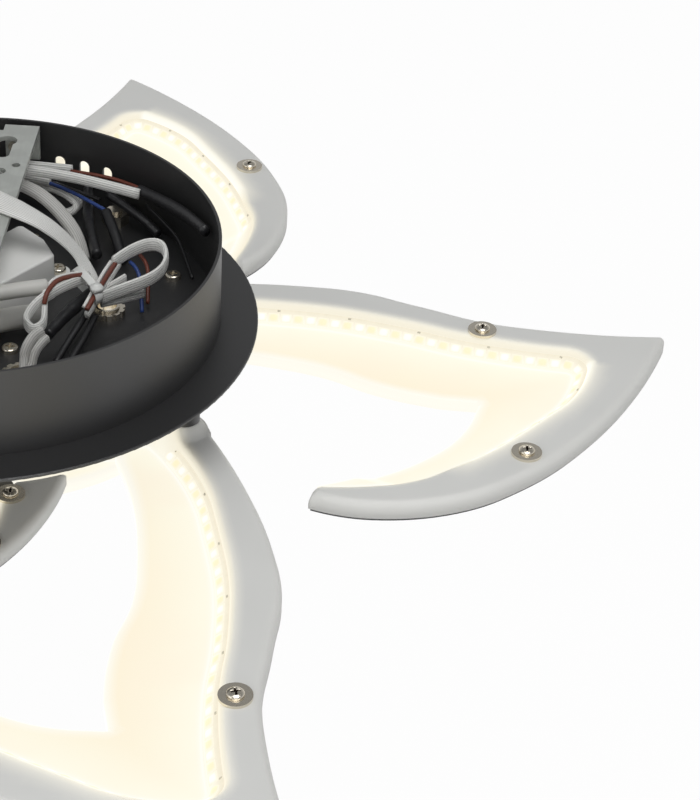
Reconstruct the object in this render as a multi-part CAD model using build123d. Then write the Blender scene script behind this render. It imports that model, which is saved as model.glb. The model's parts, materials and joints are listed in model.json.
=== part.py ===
from build123d import *
import os
from math import atan2, cos, degrees, pi, radians, sin, sqrt, tan

os.makedirs("parts", exist_ok=True)

# Semi-flush ceiling light with five hooked, edge-lit petals round a pan-shaped canopy,
# and a small three-lobed lit rosette under its middle.
# Millimetres, +Z up. The origin is the middle of the canopy's open rim, on the ceiling.
# X is to the right and Y away from the viewer in the usual view. The mounting strap runs along Y.

# Driving dimensions of the canopy
CANOPY_RADIUS = 100.0
CANOPY_HEIGHT = 36.0
SHEET = 1.2
DISC_RADIUS = 115.0
DISC_THICKNESS = 1.5
VENT_WIDTH = 4.7
VENT_LENGTH = 12.0
VENT_TOP_Z = -15.0
VENT_ANGLES = (63.4, 70.0, 76.6)

# Driving dimensions of the mounting strap
STRAP_X = 3.6
STRAP_WIDTH = 22.8
STRAP_HALF_LENGTH = 94.0
STRAP_THICKNESS = 2.0
STRAP_STEP = (8.2, 5.4)
TAB_DROP = 15.0
KEYHOLE_Y = 79.4
KEYHOLE_HEAD_RADIUS = 4.1
KEYHOLE_SLOT_RADIUS = 2.8
KEYHOLE_SLOT_LENGTH = 15.0
STRAP_HOLES = ((10.6, 58.2, 1.8), (4.6, 52.4, 2.7))
SIDE_SCREW_Z = -9.0
SIDE_SCREW_RADIUS = 2.0
SIDE_HEAD_RADIUS = 4.5
SIDE_HEAD_HEIGHT = 5.0
SIDE_HEAD_CHAMFER = 0.6
SIDE_HEAD_GAP = 0.6

# Driving dimensions of the screws through the canopy's floor
DISC_SCREW_PCD = 169.6
DISC_SCREW_ANGLE = 23.3
EXTRA_DISC_SCREW = (20.7, -28.4)
SMALL_SCREW_RADIUS = 1.6
SMALL_HEAD_RADIUS = 3.4
SMALL_HEAD_HEIGHT = 2.2
FLOOR_SCREW_LENGTH = 6.0
SCREW_PROTRUSION = 1.0
RECESS_WIDTH = 0.9
RECESS_SHARE = 1.1
HEAD_ROUNDING = 0.45
EDGE_ROUNDING = 0.45

# Driving dimensions of the wire bushings
BUSHING_CIRCLE_RADIUS = 54.6
BUSHING_ANGLES = (3.6, 75.6, 147.6, 219.6, 300.3)
BUSHING_BORE_RADIUS = 3.9
BUSHING_BODY_RADIUS = 4.9
BUSHING_FLANGE_RADIUS = 6.6
BUSHING_FLANGE_THICKNESS = 2.0
LOCK_NUT_RADIUS = 7.2
LOCK_NUT_THICKNESS = 2.6
LOCK_NUT_TEETH = 12
LOCK_NUT_NOTCH_RADIUS = 0.8

# Driving dimensions of the driver, whose long side points along DRIVER_ANGLE
DRIVER_CORNER = (32.6, 13.0)
DRIVER_ANGLE = 54.0
DRIVER_LENGTH = 74.0
DRIVER_WIDTH = 27.4
DRIVER_HEIGHT = 19.8
DRIVER_WALL = 1.5
DRIVER_NOSE = ((0.0, 0.0), (6.2, 12.0), (8.6, 27.4))
DRIVER_EARS = ((13.5, 12.0), (-80.0, 13.7))
DRIVER_CORNER_RADIUS = 2.0
DRIVER_EDGE_RADIUS = 1.0
EAR_RADIUS = 5.0
BOARD_THICKNESS = 1.6
BOARD_POST_RADIUS = 2.0
BOARD_POST_HEIGHT = 4.0
BOARD_POST_INSET = 6.0
BOARD_BLOCKS = ((-40.0, (18.0, 15.0, 9.0)), (-62.0, (10.0, 12.0, 7.0)))
CAPACITOR_PLACES = (-22.0, -11.0)
CAPACITOR_RADIUS = 4.0
CAPACITOR_HEIGHT = 8.0

# Driving dimensions of the petals
PETAL_COUNT = 5
PETAL_STEP = 360.0 / PETAL_COUNT
PETAL_TOP_Z = -71.0
PETAL_WALL = 2.0
SKIRT_HEIGHT = 7.6
PLATE_THICKNESS = 1.2
PLATE_INSET = 0.7
FLOOR_DROP = 8.0
RIM_DROP = 13.3
STEM = (48.9, 76.7)
PETAL_SWIVELS = (0.0, -1.7, 0.0, 0.0, -1.8)
STEM_RADIUS = 3.0
STEM_CLEARANCE = 0.05
SPACER_RADIUS = 6.2
BOSS_HEIGHT = 5.0
BOSS_TOP_RADIUS = 6.3
BOSS_BASE_RADIUS = 8.4
STEM_HEAD_RADIUS = 5.5
STEM_HEAD_HEIGHT = 3.0
STEM_NUT_RADIUS = 5.8
STEM_NUT_HEIGHT = 5.0
STEM_END = 1.5
FACE_GAP = 0.1
FIT_GAP = 0.3

# A petal's outline in plan, clockwise, for the petal that points to the right.
# Each stretch is a smooth curve through its points, or a line between two.
OUTER_S_EDGE = ((50.0, 86.2), (85.0, 92.3), (125.7, 94.9), (154.3, 92.7), (182.7, 82.9),
                (210.7, 72.9), (238.4, 69.1), (285.6, 69.2))
TIP_ROUND = ((285.6, 69.2), (287.6, 68.6), (288.2, 66.8))
OUTER_CRESCENT = ((288.2, 66.8), (275.0, 33.0), (254.8, -3.5), (227.4, -36.9),
                  (201.8, -55.9), (177.0, -63.9), (152.2, -64.2), (139.7, -60.8))
FREE_END = ((139.7, -60.8), (142.6, -47.7))
INNER_CRESCENT = ((142.6, -47.7), (159.0, -40.0), (179.7, -26.6), (197.2, -7.6), (205.7, 13.3))
INNER_CORNER = ((205.7, 13.3), (207.6, 20.4)), ((207.6, 20.4), (192.3, 21.1))
INNER_S_EDGE = ((192.3, 21.1), (166.4, 27.8), (139.9, 40.4), (111.0, 47.0), (88.0, 50.0),
                (52.0, 49.0))
ROOT_END = ((52.0, 49.0), (31.0, 67.5), (50.0, 86.2))
PETAL = (OUTER_S_EDGE, TIP_ROUND, OUTER_CRESCENT, FREE_END, INNER_CRESCENT, *INNER_CORNER,
         INNER_S_EDGE, ROOT_END)

# The lit trough in plan, clockwise: its outer wall, then a way back through the petal's open middle
TROUGH_S_WALL = ((46.0, 62.5), (89.0, 73.0), (112.0, 72.6), (144.0, 70.1), (172.3, 63.7),
                 (200.0, 55.0), (232.0, 48.9), (253.0, 47.3))
TROUGH_CORNER = ((253.0, 47.3), (256.6, 45.8), (258.0, 41.5))
TROUGH_CRESCENT_WALL = ((258.0, 41.5), (251.8, 19.9), (232.4, -6.9), (212.8, -28.4),
                        (199.6, -39.5), (174.5, -53.8))
TROUGH_WEDGE = ((174.5, -53.8), (151.0, -44.0))
TROUGH_RETURN = ((151.0, -44.0), (150.0, -25.0)), ((150.0, -25.0), (60.0, 15.0)), \
    ((60.0, 15.0), (46.0, 30.0)), ((46.0, 30.0), (46.0, 62.5))
TROUGH = (TROUGH_S_WALL, TROUGH_CORNER, TROUGH_CRESCENT_WALL, TROUGH_WEDGE, *TROUGH_RETURN)
STRIP_ZONE = ((58.0, 85.0), (58.0, 60.0), (185.0, 45.0), (215.0, -10.0), (176.5, -42.0),
              (174.5, -56.0), (215.0, -50.0), (275.0, 20.0), (270.0, 60.0), (200.0, 80.0))
STRIP_THICKNESS = 0.4
STRIP_HEIGHT = 7.6
STRIP_GAP = 0.05

# Screws that hold a diffuser to its plate
PETAL_SCREWS = ((208.8, 63.9), (224.9, -26.2))
PETAL_SCREW_RADIUS = 1.5
PETAL_HEAD_RADIUS = 3.25
PETAL_HEAD_HEIGHT = 2.4
WASHER_RADIUS = 6.15
WASHER_THICKNESS = 1.2
SCREW_TUBE_RADIUS = 3.6
THREAD_GAP = 0.05

# Driving dimensions of the rosette under the middle
LOBE_COUNT = 3
LOBE_STEP = 360.0 / LOBE_COUNT
ROSETTE_TOP_Z = -117.0
LOBE_OUTER_ARC = ((35.4, 7.8), (26.1, -31.4), (1.2, -70.4))
LOBE_TIP = ((1.2, -70.4), (-1.6, -71.4), (-4.0, -68.0))
LOBE_INNER_EDGE = ((-4.0, -68.0), (-8.6, -50.0), (-9.3, -36.0), (-9.0, -22.0), (-7.4, -12.8))
LOBE_HUB_EDGE = ((-7.4, -12.8), (7.4, -12.8), (14.6, -1.0))
LOBE_SEAM = ((14.6, -1.0), (24.2, 2.2), (35.4, 7.8))
LOBE = (LOBE_OUTER_ARC, LOBE_TIP, LOBE_INNER_EDGE, LOBE_HUB_EDGE, LOBE_SEAM)
LOBE_TROUGH_WALL = ((9.0, -8.0), (10.0, -27.0), (4.0, -52.0), (-1.0, -64.0))
LOBE_TROUGH_CORNERS = ((-1.0, -64.0), (-30.0, -60.0), (-30.0, -12.0), (2.0, -4.0), (9.0, -8.0))
LOBE_TROUGH = (LOBE_TROUGH_WALL, *zip(LOBE_TROUGH_CORNERS, LOBE_TROUGH_CORNERS[1:]))
LOBE_STRIP_ZONE = ((6.0, -10.0), (14.0, -10.0), (16.0, -30.0), (3.0, -58.0), (-1.0, -57.0),
                   (5.0, -30.0))
LOBE_SCREWS = ((15.0, -12.0), (10.5, -46.0))
HUB_RADIUS = 20.0
POST_RADIUS = 5.0
POST_BORE_RADIUS = 3.2
POST_FLANGE_RADIUS = 17.0
POST_FLANGE_THICKNESS = 2.0
POST_SHOULDER_RADIUS = 8.0
POST_SCREW_COUNT = 3
POST_SCREW_CIRCLE_RADIUS = 12.5
POST_SCREW_LENGTH = 4.5
POST_NUT_RADIUS = 8.5
POST_NUT_HEIGHT = 4.0

# Leads inside the canopy: radius, then the points of each route, chosen one by one
FLAT_SLEEVE = (2.4, (
    (-38, 34, -11), (-25, 31.5, -7), (-12, 29.4, -5.2), (17, 28, -5.2), (27, 26.6, -7.5),
    (34, 24, -10.5), (39.7, 19.5, -14), (43.8, 13, -17.5), (47, 5.5, -19.5), (50, -1, -20.5)))
GREY_SLEEVES = (
    (2.2, ((-14, 82, -19), (-2, 78, -18), (10.8, 73, -17), (20.5, 67.3, -17.5), (30, 57.5, -19),
           (36, 48, -21.5), (39.4, 39, -25), (41.2, 31, -29.5), (42.6, 24, -32.2))),
    (1.6, ((37, -24, -23), (35.2, -32, -23.6), (32, -39.5, -24.8), (29.5, -44.8, -28),
           (29.2, -46.7, -33.5))),
    (1.6, ((31.4, -25.4, -25), (30.6, -32.5, -25.2), (27.4, -40.5, -26.2), (25.7, -46, -29.3),
           (25.8, -47.4, -33.5))),
)
WHITE_SLEEVES = (
    (2.6, ((-4, 90.5, -22), (9.5, 88.5, -22), (19.5, 83, -22.5), (28, 77.5, -23.5),
           (32.5, 70.5, -26), (32, 63, -29.5), (29.5, 56, -31.9))),
    (2.6, ((-8, 87.3, -16.2), (10.8, 87, -16.2), (28.8, 86, -17))),
    (2.4, ((-8, 81, -10), (12, 78.4, -11), (28, 77, -12), (44, 75.5, -13.6), (52, 73.4, -14.6))),
    (1.7, ((56.4, 17, -17), (62, 29, -17), (70, 33, -17), (76, 27, -17), (76.5, 15, -17.5),
           (71, 6, -18.5), (62, 0, -20), (56, -5, -22))),
    (2.4, ((45, 0, -15.4), (39, -1.8, -13.2), (34.5, -9, -12), (30.5, -19.5, -14),
           (29, -28.5, -18), (28, -35.5, -21.5))),
    (1.5, ((40.5, -5, -19.5), (38.2, -12, -21.6), (37, -21, -24.7))),
)
WHITE_TUBES = (
    (3.8, ((-6, -21.4, -10.9), (6, -18.6, -10.9), (17, -15.8, -11.5), (25, -13.5, -13))),
    (3.8, ((3.6, -37.8, -28), (12, -31.2, -28.3), (19.6, -24.6, -28.4), (26.6, -20.6, -28.9))),
)
HEAT_SHRINKS = (
    (4.0, ((52.4, 73.3, -14.65), (58.4, 71.7, -15.4), (69.8, 61.4, -12.5), (80.4, 47, -9),
           (88.7, 31.4, -7))),
    (2.8, ((37.5, 84, -26), (39.2, 77, -26), (40.6, 63, -26.5), (44.8, 43, -27), (46.8, 33, -27.5))),
    (3.6, ((47, -3.4, -26.8), (42.4, -9, -28), (38, -17, -29.6), (35.5, -26, -30.8))),
)
DARK_SLEEVES = (
    (2.3, ((46, 76, -22.5), (57, 67, -25), (66, 58, -30), (71, 52, -32.2))),
    (2.4, ((48, 61, -22), (52, 50, -24), (56.5, 38, -29), (58, 31, -32.1))),
)
BROWN_WIRES = (
    (1.1, ((29.2, 86, -17), (45.5, 82.4, -18.6), (60, 75.4, -21.5))),
    (1.1, ((56.2, 16.4, -17), (53.6, 5, -15.4), (51, -6, -15.6), (48.5, -16, -17.6),
           (47.4, -23, -20))),
    (1.1, ((45, 0.6, -11.4), (39.2, -2.8, -9.4), (34.8, -9.8, -8.2), (31.8, -17.5, -9.6))),
    (0.9, ((65.5, 25, -21), (68, 16, -22), (71, 8, -24), (74, 0, -28), (75, -8, -33.5))),
)
BLUE_WIRES = (
    (0.9, ((12, 80.5, -18), (21, 76.5, -18.8), (30, 73, -20.9), (38, 69.8, -20.5),
           (46.6, 63.4, -21.7))),
    (0.9, ((61.5, 20, -21), (66, 12, -24), (69.5, 3, -29), (71, -4, -33.5))),
)
BLACK_WIRES = (
    (0.9, ((49.5, -20, -23), (48, -31, -24), (46.5, -42, -27), (44, -53, -33.5))),
    (0.9, ((44.5, -20, -24.5), (43.5, -32, -26.5), (41.5, -45, -29), (37.5, -55, -33.5))),
)
LEAD_BEND = 0.45
TIE_PLACE = (48.6, 2.1, -20.0)
TIE_DIRECTION = (3.0, -6.5, -1.0)
TIE_HEAD_SIDE = (6.5, 3.0, 0.0)
TIE_WIDTH = 3.2
TIE_THICKNESS = 1.2
TIE_HEAD = (4.6, 5.0, 4.2)

# Heights worked out from the values above
FLOOR_TOP_Z = -CANOPY_HEIGHT + SHEET
DISC_TOP_Z = -CANOPY_HEIGHT
DISC_BOTTOM_Z = DISC_TOP_Z - DISC_THICKNESS
PLATE_TOP_Z = PETAL_TOP_Z - SKIRT_HEIGHT
PLATE_BOTTOM_Z = PLATE_TOP_Z - PLATE_THICKNESS
BOSS_TOP_Z = PETAL_TOP_Z + BOSS_HEIGHT
ROSETTE_PLATE_TOP_Z = ROSETTE_TOP_Z - SKIRT_HEIGHT
ROSETTE_PLATE_BOTTOM_Z = ROSETTE_PLATE_TOP_Z - PLATE_THICKNESS
STEM_CIRCLE_RADIUS = sqrt(STEM[0] ** 2 + STEM[1] ** 2)
STEM_ANGLE = degrees(atan2(STEM[1], STEM[0]))

written = {}


def save(name, solids):
    """Write one node and remember it."""
    if not isinstance(solids, list):
        solids = [solids]
    pieces = [piece for shape in solids for piece in shape.solids()]
    export_step(Compound(children=pieces), f"parts/{name}.step")
    written[name] = pieces


def slab(face, low_z, high_z):
    """A flat face in plan, raised between two heights."""
    return extrude(Pos(0, 0, low_z) * face, high_z - low_z)


def tube(outer, inner, low_z, high_z, x=0.0, y=0.0):
    """An upright tube with its axis at x, y."""
    middle = (low_z + high_z) / 2
    height = high_z - low_z
    return Pos(x, y, middle) * (Cylinder(outer, height) - Cylinder(inner, height))


def rod(radius, low_z, high_z, x=0.0, y=0.0):
    """An upright cylinder with its axis at x, y."""
    return Pos(x, y, (low_z + high_z) / 2) * Cylinder(radius, high_z - low_z)


def polar(radius, angle):
    """A point in plan at a radius and an angle from +X."""
    return radius * cos(radians(angle)), radius * sin(radians(angle))


def turned(point, angle):
    """A point in plan turned about the origin."""
    x, y = point
    c, s = cos(radians(angle)), sin(radians(angle))
    return x * c - y * s, x * s + y * c


def ring_of(shape, count):
    """Copies of a shape spread evenly about the Z axis."""
    return [Rot(0, 0, 360.0 / count * index) * shape for index in range(count)]


def pan_screw(head_radius, head_height, shank_radius, shank_length):
    """A cross-recessed pan-head screw, its seat at the origin and its shank down."""
    head = Pos(0, 0, head_height / 2) * Cylinder(head_radius, head_height)
    head = fillet(head.edges().sort_by(Axis.Z)[-1], head_height * HEAD_ROUNDING)
    arm = head_radius * RECESS_SHARE
    recess = Box(arm, RECESS_WIDTH, head_height) + Box(RECESS_WIDTH, arm, head_height)
    head -= Pos(0, 0, head_height) * recess
    return head + Pos(0, 0, -shank_length / 2) * Cylinder(shank_radius, shank_length)


def hex_nut(radius, bore, height):
    """A hexagon nut that stands on the origin."""
    body = extrude(RegularPolygon(radius, 6), height)
    return body - Pos(0, 0, height / 2) * Cylinder(bore, height)


def circle_points(radius, start_angle, count):
    """Points in plan spread evenly round a circle."""
    return [polar(radius, start_angle + 360.0 / count * index) for index in range(count)]


# Places of the repeated fasteners in plan
disc_screw_points = circle_points(DISC_SCREW_PCD / 2, DISC_SCREW_ANGLE, PETAL_COUNT)
disc_screw_points.append(EXTRA_DISC_SCREW)
bushing_points = [polar(BUSHING_CIRCLE_RADIUS, angle) for angle in BUSHING_ANGLES]
stem_points = circle_points(STEM_CIRCLE_RADIUS, STEM_ANGLE, PETAL_COUNT)
post_screw_points = circle_points(POST_SCREW_CIRCLE_RADIUS, 0.0, POST_SCREW_COUNT)


def driver_point(u, v):
    """A point given along and across the driver, in plan."""
    x, y = turned((u, v), DRIVER_ANGLE)
    return DRIVER_CORNER[0] + x, DRIVER_CORNER[1] + y


ear_points = [driver_point(u, v) for u, v in DRIVER_EARS]


def floor_holes(low_z, high_z):
    """The holes that the canopy's floor and the disc under it share."""
    middle = (low_z + high_z) / 2
    height = (high_z - low_z) * 3
    groups = (
        (disc_screw_points, SMALL_SCREW_RADIUS + THREAD_GAP),
        (bushing_points, BUSHING_BODY_RADIUS + THREAD_GAP),
        (stem_points, STEM_RADIUS + FIT_GAP),
        (ear_points, SMALL_SCREW_RADIUS + THREAD_GAP),
        (post_screw_points, SMALL_SCREW_RADIUS + THREAD_GAP),
    )
    holes = []
    for points, radius in groups:
        holes += [Pos(x, y, middle) * Cylinder(radius, height) for x, y in points]
    return holes


def make_canopy_pan():
    """The open pan: a drawn sheet wall and floor with vents, bushing holes and side-screw holes."""
    pan = rod(CANOPY_RADIUS, -CANOPY_HEIGHT, 0)
    pan -= rod(CANOPY_RADIUS - SHEET, FLOOR_TOP_Z, 1)
    pan -= floor_holes(-CANOPY_HEIGHT, FLOOR_TOP_Z)
    vent = extrude(SlotOverall(VENT_LENGTH, VENT_WIDTH), SHEET * 6, both=True)
    vent = Rot(0, 90, 0) * vent
    vent_z = VENT_TOP_Z - VENT_LENGTH / 2
    for side in (0, 180):
        for angle in VENT_ANGLES:
            pan -= Rot(0, 0, angle + side) * Pos(CANOPY_RADIUS, 0, vent_z) * vent
    side_hole = Rot(90, 0, 0) * Cylinder(SIDE_SCREW_RADIUS + FIT_GAP, 2.4 * CANOPY_RADIUS)
    pan -= Pos(STRAP_X, 0, SIDE_SCREW_Z) * side_hole
    return pan


def make_base_disc():
    """The wider disc screwed under the pan."""
    disc = rod(DISC_RADIUS, DISC_BOTTOM_Z, DISC_TOP_Z)
    disc -= floor_holes(DISC_BOTTOM_Z, DISC_TOP_Z)
    rim_edges = disc.edges().filter_by(GeomType.CIRCLE).sort_by(SortBy.RADIUS)[-2:]
    return fillet(rim_edges, EDGE_ROUNDING)


def strap_slot(sign):
    """One keyhole: a round head with a slot that points to the middle."""
    head = Pos(STRAP_X, sign * KEYHOLE_Y) * Circle(KEYHOLE_HEAD_RADIUS)
    slot_middle = KEYHOLE_Y - KEYHOLE_SLOT_LENGTH / 2
    slot = Pos(STRAP_X, sign * slot_middle) * Rot(0, 0, 90) * SlotOverall(
        KEYHOLE_SLOT_LENGTH, KEYHOLE_SLOT_RADIUS * 2)
    return head + slot


def make_mounting_strap():
    """The flat strap on the ceiling, with a tab bent down at each end for the side screws."""
    plan = Pos(STRAP_X, 0) * Rectangle(STRAP_WIDTH, STRAP_HALF_LENGTH * 2)
    step_width, step_depth = STRAP_STEP
    left = STRAP_X - STRAP_WIDTH / 2
    right = STRAP_X + STRAP_WIDTH / 2
    step_y = STRAP_HALF_LENGTH - step_depth / 2
    plan -= Pos(left + step_width / 2, step_y) * Rectangle(step_width, step_depth)
    plan -= Pos(right - step_width / 2, -step_y) * Rectangle(step_width, step_depth)
    for sign in (1, -1):
        plan -= strap_slot(sign)
        for x, y, radius in STRAP_HOLES:
            plan -= Pos(STRAP_X + sign * (x - STRAP_X), sign * y) * Circle(radius)
    strap = slab(plan, -STRAP_THICKNESS, 0)
    tab_width = STRAP_WIDTH - step_width
    for sign in (1, -1):
        tab_x = STRAP_X + sign * step_width / 2
        tab_y = sign * (STRAP_HALF_LENGTH - STRAP_THICKNESS / 2)
        strap += Pos(tab_x, tab_y, -TAB_DROP / 2) * Box(tab_width, STRAP_THICKNESS, TAB_DROP)
    tapped = Rot(90, 0, 0) * Cylinder(SIDE_SCREW_RADIUS + THREAD_GAP, 2.4 * CANOPY_RADIUS)
    return strap - Pos(STRAP_X, 0, SIDE_SCREW_Z) * tapped


def make_side_screws():
    """Two thumb screws that hold the pan to the strap's tabs."""
    seat = sqrt(CANOPY_RADIUS ** 2 - STRAP_X ** 2) + SIDE_HEAD_GAP
    reach = seat - STRAP_HALF_LENGTH + STRAP_THICKNESS + SCREW_PROTRUSION
    head = Pos(0, 0, SIDE_HEAD_HEIGHT / 2) * Cylinder(SIDE_HEAD_RADIUS, SIDE_HEAD_HEIGHT)
    head = chamfer(head.edges().filter_by(GeomType.CIRCLE), SIDE_HEAD_CHAMFER)
    screw = head + Pos(0, 0, -reach / 2) * Cylinder(SIDE_SCREW_RADIUS, reach)
    far = Pos(STRAP_X, seat, SIDE_SCREW_Z) * Rot(-90, 0, 0) * screw
    near = Pos(STRAP_X, -seat, SIDE_SCREW_Z) * Rot(90, 0, 0) * screw
    return [far, near]


def make_floor_screws(points, seat_z):
    """Pan-head screws with their seats at one height."""
    screw = pan_screw(SMALL_HEAD_RADIUS, SMALL_HEAD_HEIGHT, SMALL_SCREW_RADIUS, FLOOR_SCREW_LENGTH)
    return [Pos(x, y, seat_z) * screw for x, y in points]


def driver_outline():
    """The driver's plan: square at one end, slanted and bulged at the other."""
    corners = [driver_point(u, v) for u, v in DRIVER_NOSE]
    corners += [driver_point(-DRIVER_LENGTH, DRIVER_WIDTH), driver_point(-DRIVER_LENGTH, 0.0)]
    face = make_face(Polyline(*corners, close=True))
    return fillet(face.vertices(), DRIVER_CORNER_RADIUS)


def make_driver_base():
    """The driver's base plate with an ear at each end and four posts for the board."""
    plan = driver_outline()
    for (u, v), (x, y) in zip(DRIVER_EARS, ear_points):
        inner_u = min(max(u, -DRIVER_LENGTH), 0.0)
        middle = driver_point((u + inner_u) / 2, v)
        length = abs(u - inner_u)
        plan += Pos(*middle) * Rot(0, 0, DRIVER_ANGLE) * Rectangle(length, EAR_RADIUS * 2)
        plan += Pos(x, y) * Circle(EAR_RADIUS)
    for x, y in ear_points:
        plan -= Pos(x, y) * Circle(SMALL_SCREW_RADIUS + THREAD_GAP)
    base = slab(plan, FLOOR_TOP_Z, FLOOR_TOP_Z + DRIVER_WALL)
    post_low = FLOOR_TOP_Z + DRIVER_WALL
    for u in (-DRIVER_LENGTH + BOARD_POST_INSET, -BOARD_POST_INSET):
        for v in (BOARD_POST_INSET, DRIVER_WIDTH - BOARD_POST_INSET):
            x, y = driver_point(u, v)
            base += rod(BOARD_POST_RADIUS, post_low, post_low + BOARD_POST_HEIGHT, x, y)
    return base


def make_driver_case():
    """The driver's cover, a box open at its base."""
    outline = driver_outline()
    low = FLOOR_TOP_Z + DRIVER_WALL
    high = FLOOR_TOP_Z + DRIVER_HEIGHT
    case = slab(outline, low, high)
    case = fillet(case.faces().sort_by(Axis.Z)[-1].edges(), DRIVER_EDGE_RADIUS)
    return case - slab(offset(outline, -DRIVER_WALL), low, high - DRIVER_WALL)


def make_driver_board():
    """The driver's circuit board with its transformer, choke and two capacitors."""
    outline = offset(driver_outline(), -DRIVER_WALL - FIT_GAP)
    low = FLOOR_TOP_Z + DRIVER_WALL + BOARD_POST_HEIGHT
    high = low + BOARD_THICKNESS
    board = slab(outline, low, high)
    for u, size in BOARD_BLOCKS:
        x, y = driver_point(u, DRIVER_WIDTH / 2)
        board += Pos(x, y, high + size[2] / 2) * Rot(0, 0, DRIVER_ANGLE) * Box(*size)
    for u in CAPACITOR_PLACES:
        x, y = driver_point(u, DRIVER_WIDTH / 2)
        board += rod(CAPACITOR_RADIUS, high, high + CAPACITOR_HEIGHT, x, y)
    return board


def make_bushing_nipple():
    """A threaded tube with a flange under the disc, for a petal's leads."""
    top = FLOOR_TOP_Z + LOCK_NUT_THICKNESS + SCREW_PROTRUSION
    low = DISC_BOTTOM_Z - BUSHING_FLANGE_THICKNESS
    body = tube(BUSHING_BODY_RADIUS, BUSHING_BORE_RADIUS, low, top)
    return body + tube(BUSHING_FLANGE_RADIUS, BUSHING_BORE_RADIUS, low, DISC_BOTTOM_Z)


def make_lock_nut():
    """The toothed ring that holds a bushing to the canopy's floor."""
    top = FLOOR_TOP_Z + LOCK_NUT_THICKNESS
    ring = tube(LOCK_NUT_RADIUS, BUSHING_BODY_RADIUS + THREAD_GAP, FLOOR_TOP_Z, top)
    for x, y in circle_points(LOCK_NUT_RADIUS, 0.0, LOCK_NUT_TEETH):
        ring -= rod(LOCK_NUT_NOTCH_RADIUS, FLOOR_TOP_Z, top, x, y)
    return ring


def unit(vector):
    """A vector in plan made one long."""
    return vector / vector.length


def directions(points):
    """The direction of a smooth curve at each point, from the circle through its neighbours."""
    first, last = unit(points[1] - points[0]), unit(points[-1] - points[-2])
    if len(points) == 2:
        return [first, last]
    inner = []
    for before, here, after in zip(points, points[1:], points[2:]):
        back, ahead = here - before, after - here
        inner.append(unit(back * (ahead.length / back.length) + ahead * (back.length / ahead.length)))
    start = first * (2 * first.dot(inner[0])) - inner[0]
    end = last * (2 * last.dot(inner[-1])) - inner[-1]
    return [start] + inner + [end]


def arc_from(start, direction, end):
    """The arc that leaves start in a direction and reaches end."""
    along = unit(end - start)
    side = Vector(-along.Y, along.X)
    turn = atan2(side.dot(direction), along.dot(direction))
    if abs(turn) < 1e-6:
        return Line(start, end)
    middle = (start + end) * 0.5 + side * (tan(turn / 2) * (end - start).length / 2)
    return ThreePointArc(start, middle, end)


def smooth(points):
    """Tangent arcs, two to each span, through a list of points."""
    ways = directions(points)
    arcs = []
    for a, b, out, into in zip(points, points[1:], ways, ways[1:]):
        span = b - a
        lean = span.dot(out + into)
        bend = 2 * (1 - out.dot(into))
        if bend < 1e-9:
            reach = span.dot(span) / (2 * lean)
        else:
            reach = (sqrt(lean ** 2 + bend * span.dot(span)) - lean) / bend
        joint = (a + b + (out - into) * reach) * 0.5
        first = unit(joint - a)
        arcs.append(arc_from(a, out, joint))
        arcs.append(arc_from(joint, first * (2 * first.dot(out)) - out, b))
    return arcs


def plan_face(outline):
    """A flat face inside a closed outline of smooth stretches and lines."""
    edges = []
    for stretch in outline:
        points = [Vector(*point) for point in stretch]
        edges += [Line(*points)] if len(points) == 2 else smooth(points)
    return make_face(Curve() + edges)


def crossing(a, along_a, b, along_b):
    """Where two lines in plan cross."""
    across = along_a.X * along_b.Y - along_a.Y * along_b.X
    if abs(across) < 0.02:
        return (a + b) * 0.5
    gap = b - a
    return a + along_a * ((gap.X * along_b.Y - gap.Y * along_b.X) / across)


def inset(outline, distance):
    """A clockwise outline moved inwards by a distance, or outwards by a negative one."""
    moved, ways = [], []
    for stretch in outline:
        points = [Vector(*point) for point in stretch]
        ways.append(directions(points))
        moved.append([p + Vector(way.Y, -way.X) * distance for p, way in zip(points, ways[-1])])
    for index in range(len(moved)):
        here, after = index - 1, index
        corner = crossing(moved[here][-1], ways[here][-1], moved[after][0], ways[after][0])
        moved[here][-1] = corner
        moved[after][0] = corner
    return moved


def make_diffuser(outline, trough, top_z, screw_points):
    """A moulded diffuser: flat flange, outer skirt, strip wall, trough floor and inner rim."""
    whole = plan_face(outline)
    lit = plan_face(trough)
    edge_ring = whole - plan_face(inset(outline, PETAL_WALL))
    wall = (plan_face(inset(trough, -PETAL_WALL)) - lit) & whole
    skirt_bottom = top_z - SKIRT_HEIGHT
    floor_bottom = top_z - FLOOR_DROP - PETAL_WALL
    body = slab(whole - lit, top_z - PETAL_WALL, top_z)
    body += slab(edge_ring - lit, skirt_bottom, top_z)
    body += slab(wall, floor_bottom, top_z)
    body += slab(whole & lit, floor_bottom, top_z - FLOOR_DROP)
    body += slab(edge_ring & lit, top_z - RIM_DROP, top_z - FLOOR_DROP)
    for x, y in screw_points:
        body += rod(SCREW_TUBE_RADIUS, skirt_bottom, top_z, x, y)
    for x, y in screw_points:
        body -= rod(PETAL_SCREW_RADIUS + THREAD_GAP, skirt_bottom - 1, top_z + 1, x, y)
    return body


def make_plate(outline, trough, top_z, screw_points):
    """The black sheet plate that follows a diffuser's band from below."""
    band = plan_face(inset(outline, PLATE_INSET)) - plan_face(inset(trough, -PETAL_WALL - FIT_GAP))
    for x, y in screw_points:
        band -= Pos(x, y) * Circle(PETAL_SCREW_RADIUS + THREAD_GAP)
    return slab(band, top_z - PLATE_THICKNESS, top_z)


def make_strip(outline, trough, zone, top_z):
    """The flexible strip of lights that stands against the strip wall."""
    ribbon = plan_face(inset(trough, STRIP_GAP)) - plan_face(inset(trough, STRIP_GAP + STRIP_THICKNESS))
    ribbon = ribbon & make_face(Polyline(*zone, close=True))
    ribbon = ribbon & plan_face(outline)
    low = top_z - FLOOR_DROP
    return slab(ribbon, low, low + STRIP_HEIGHT)


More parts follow.
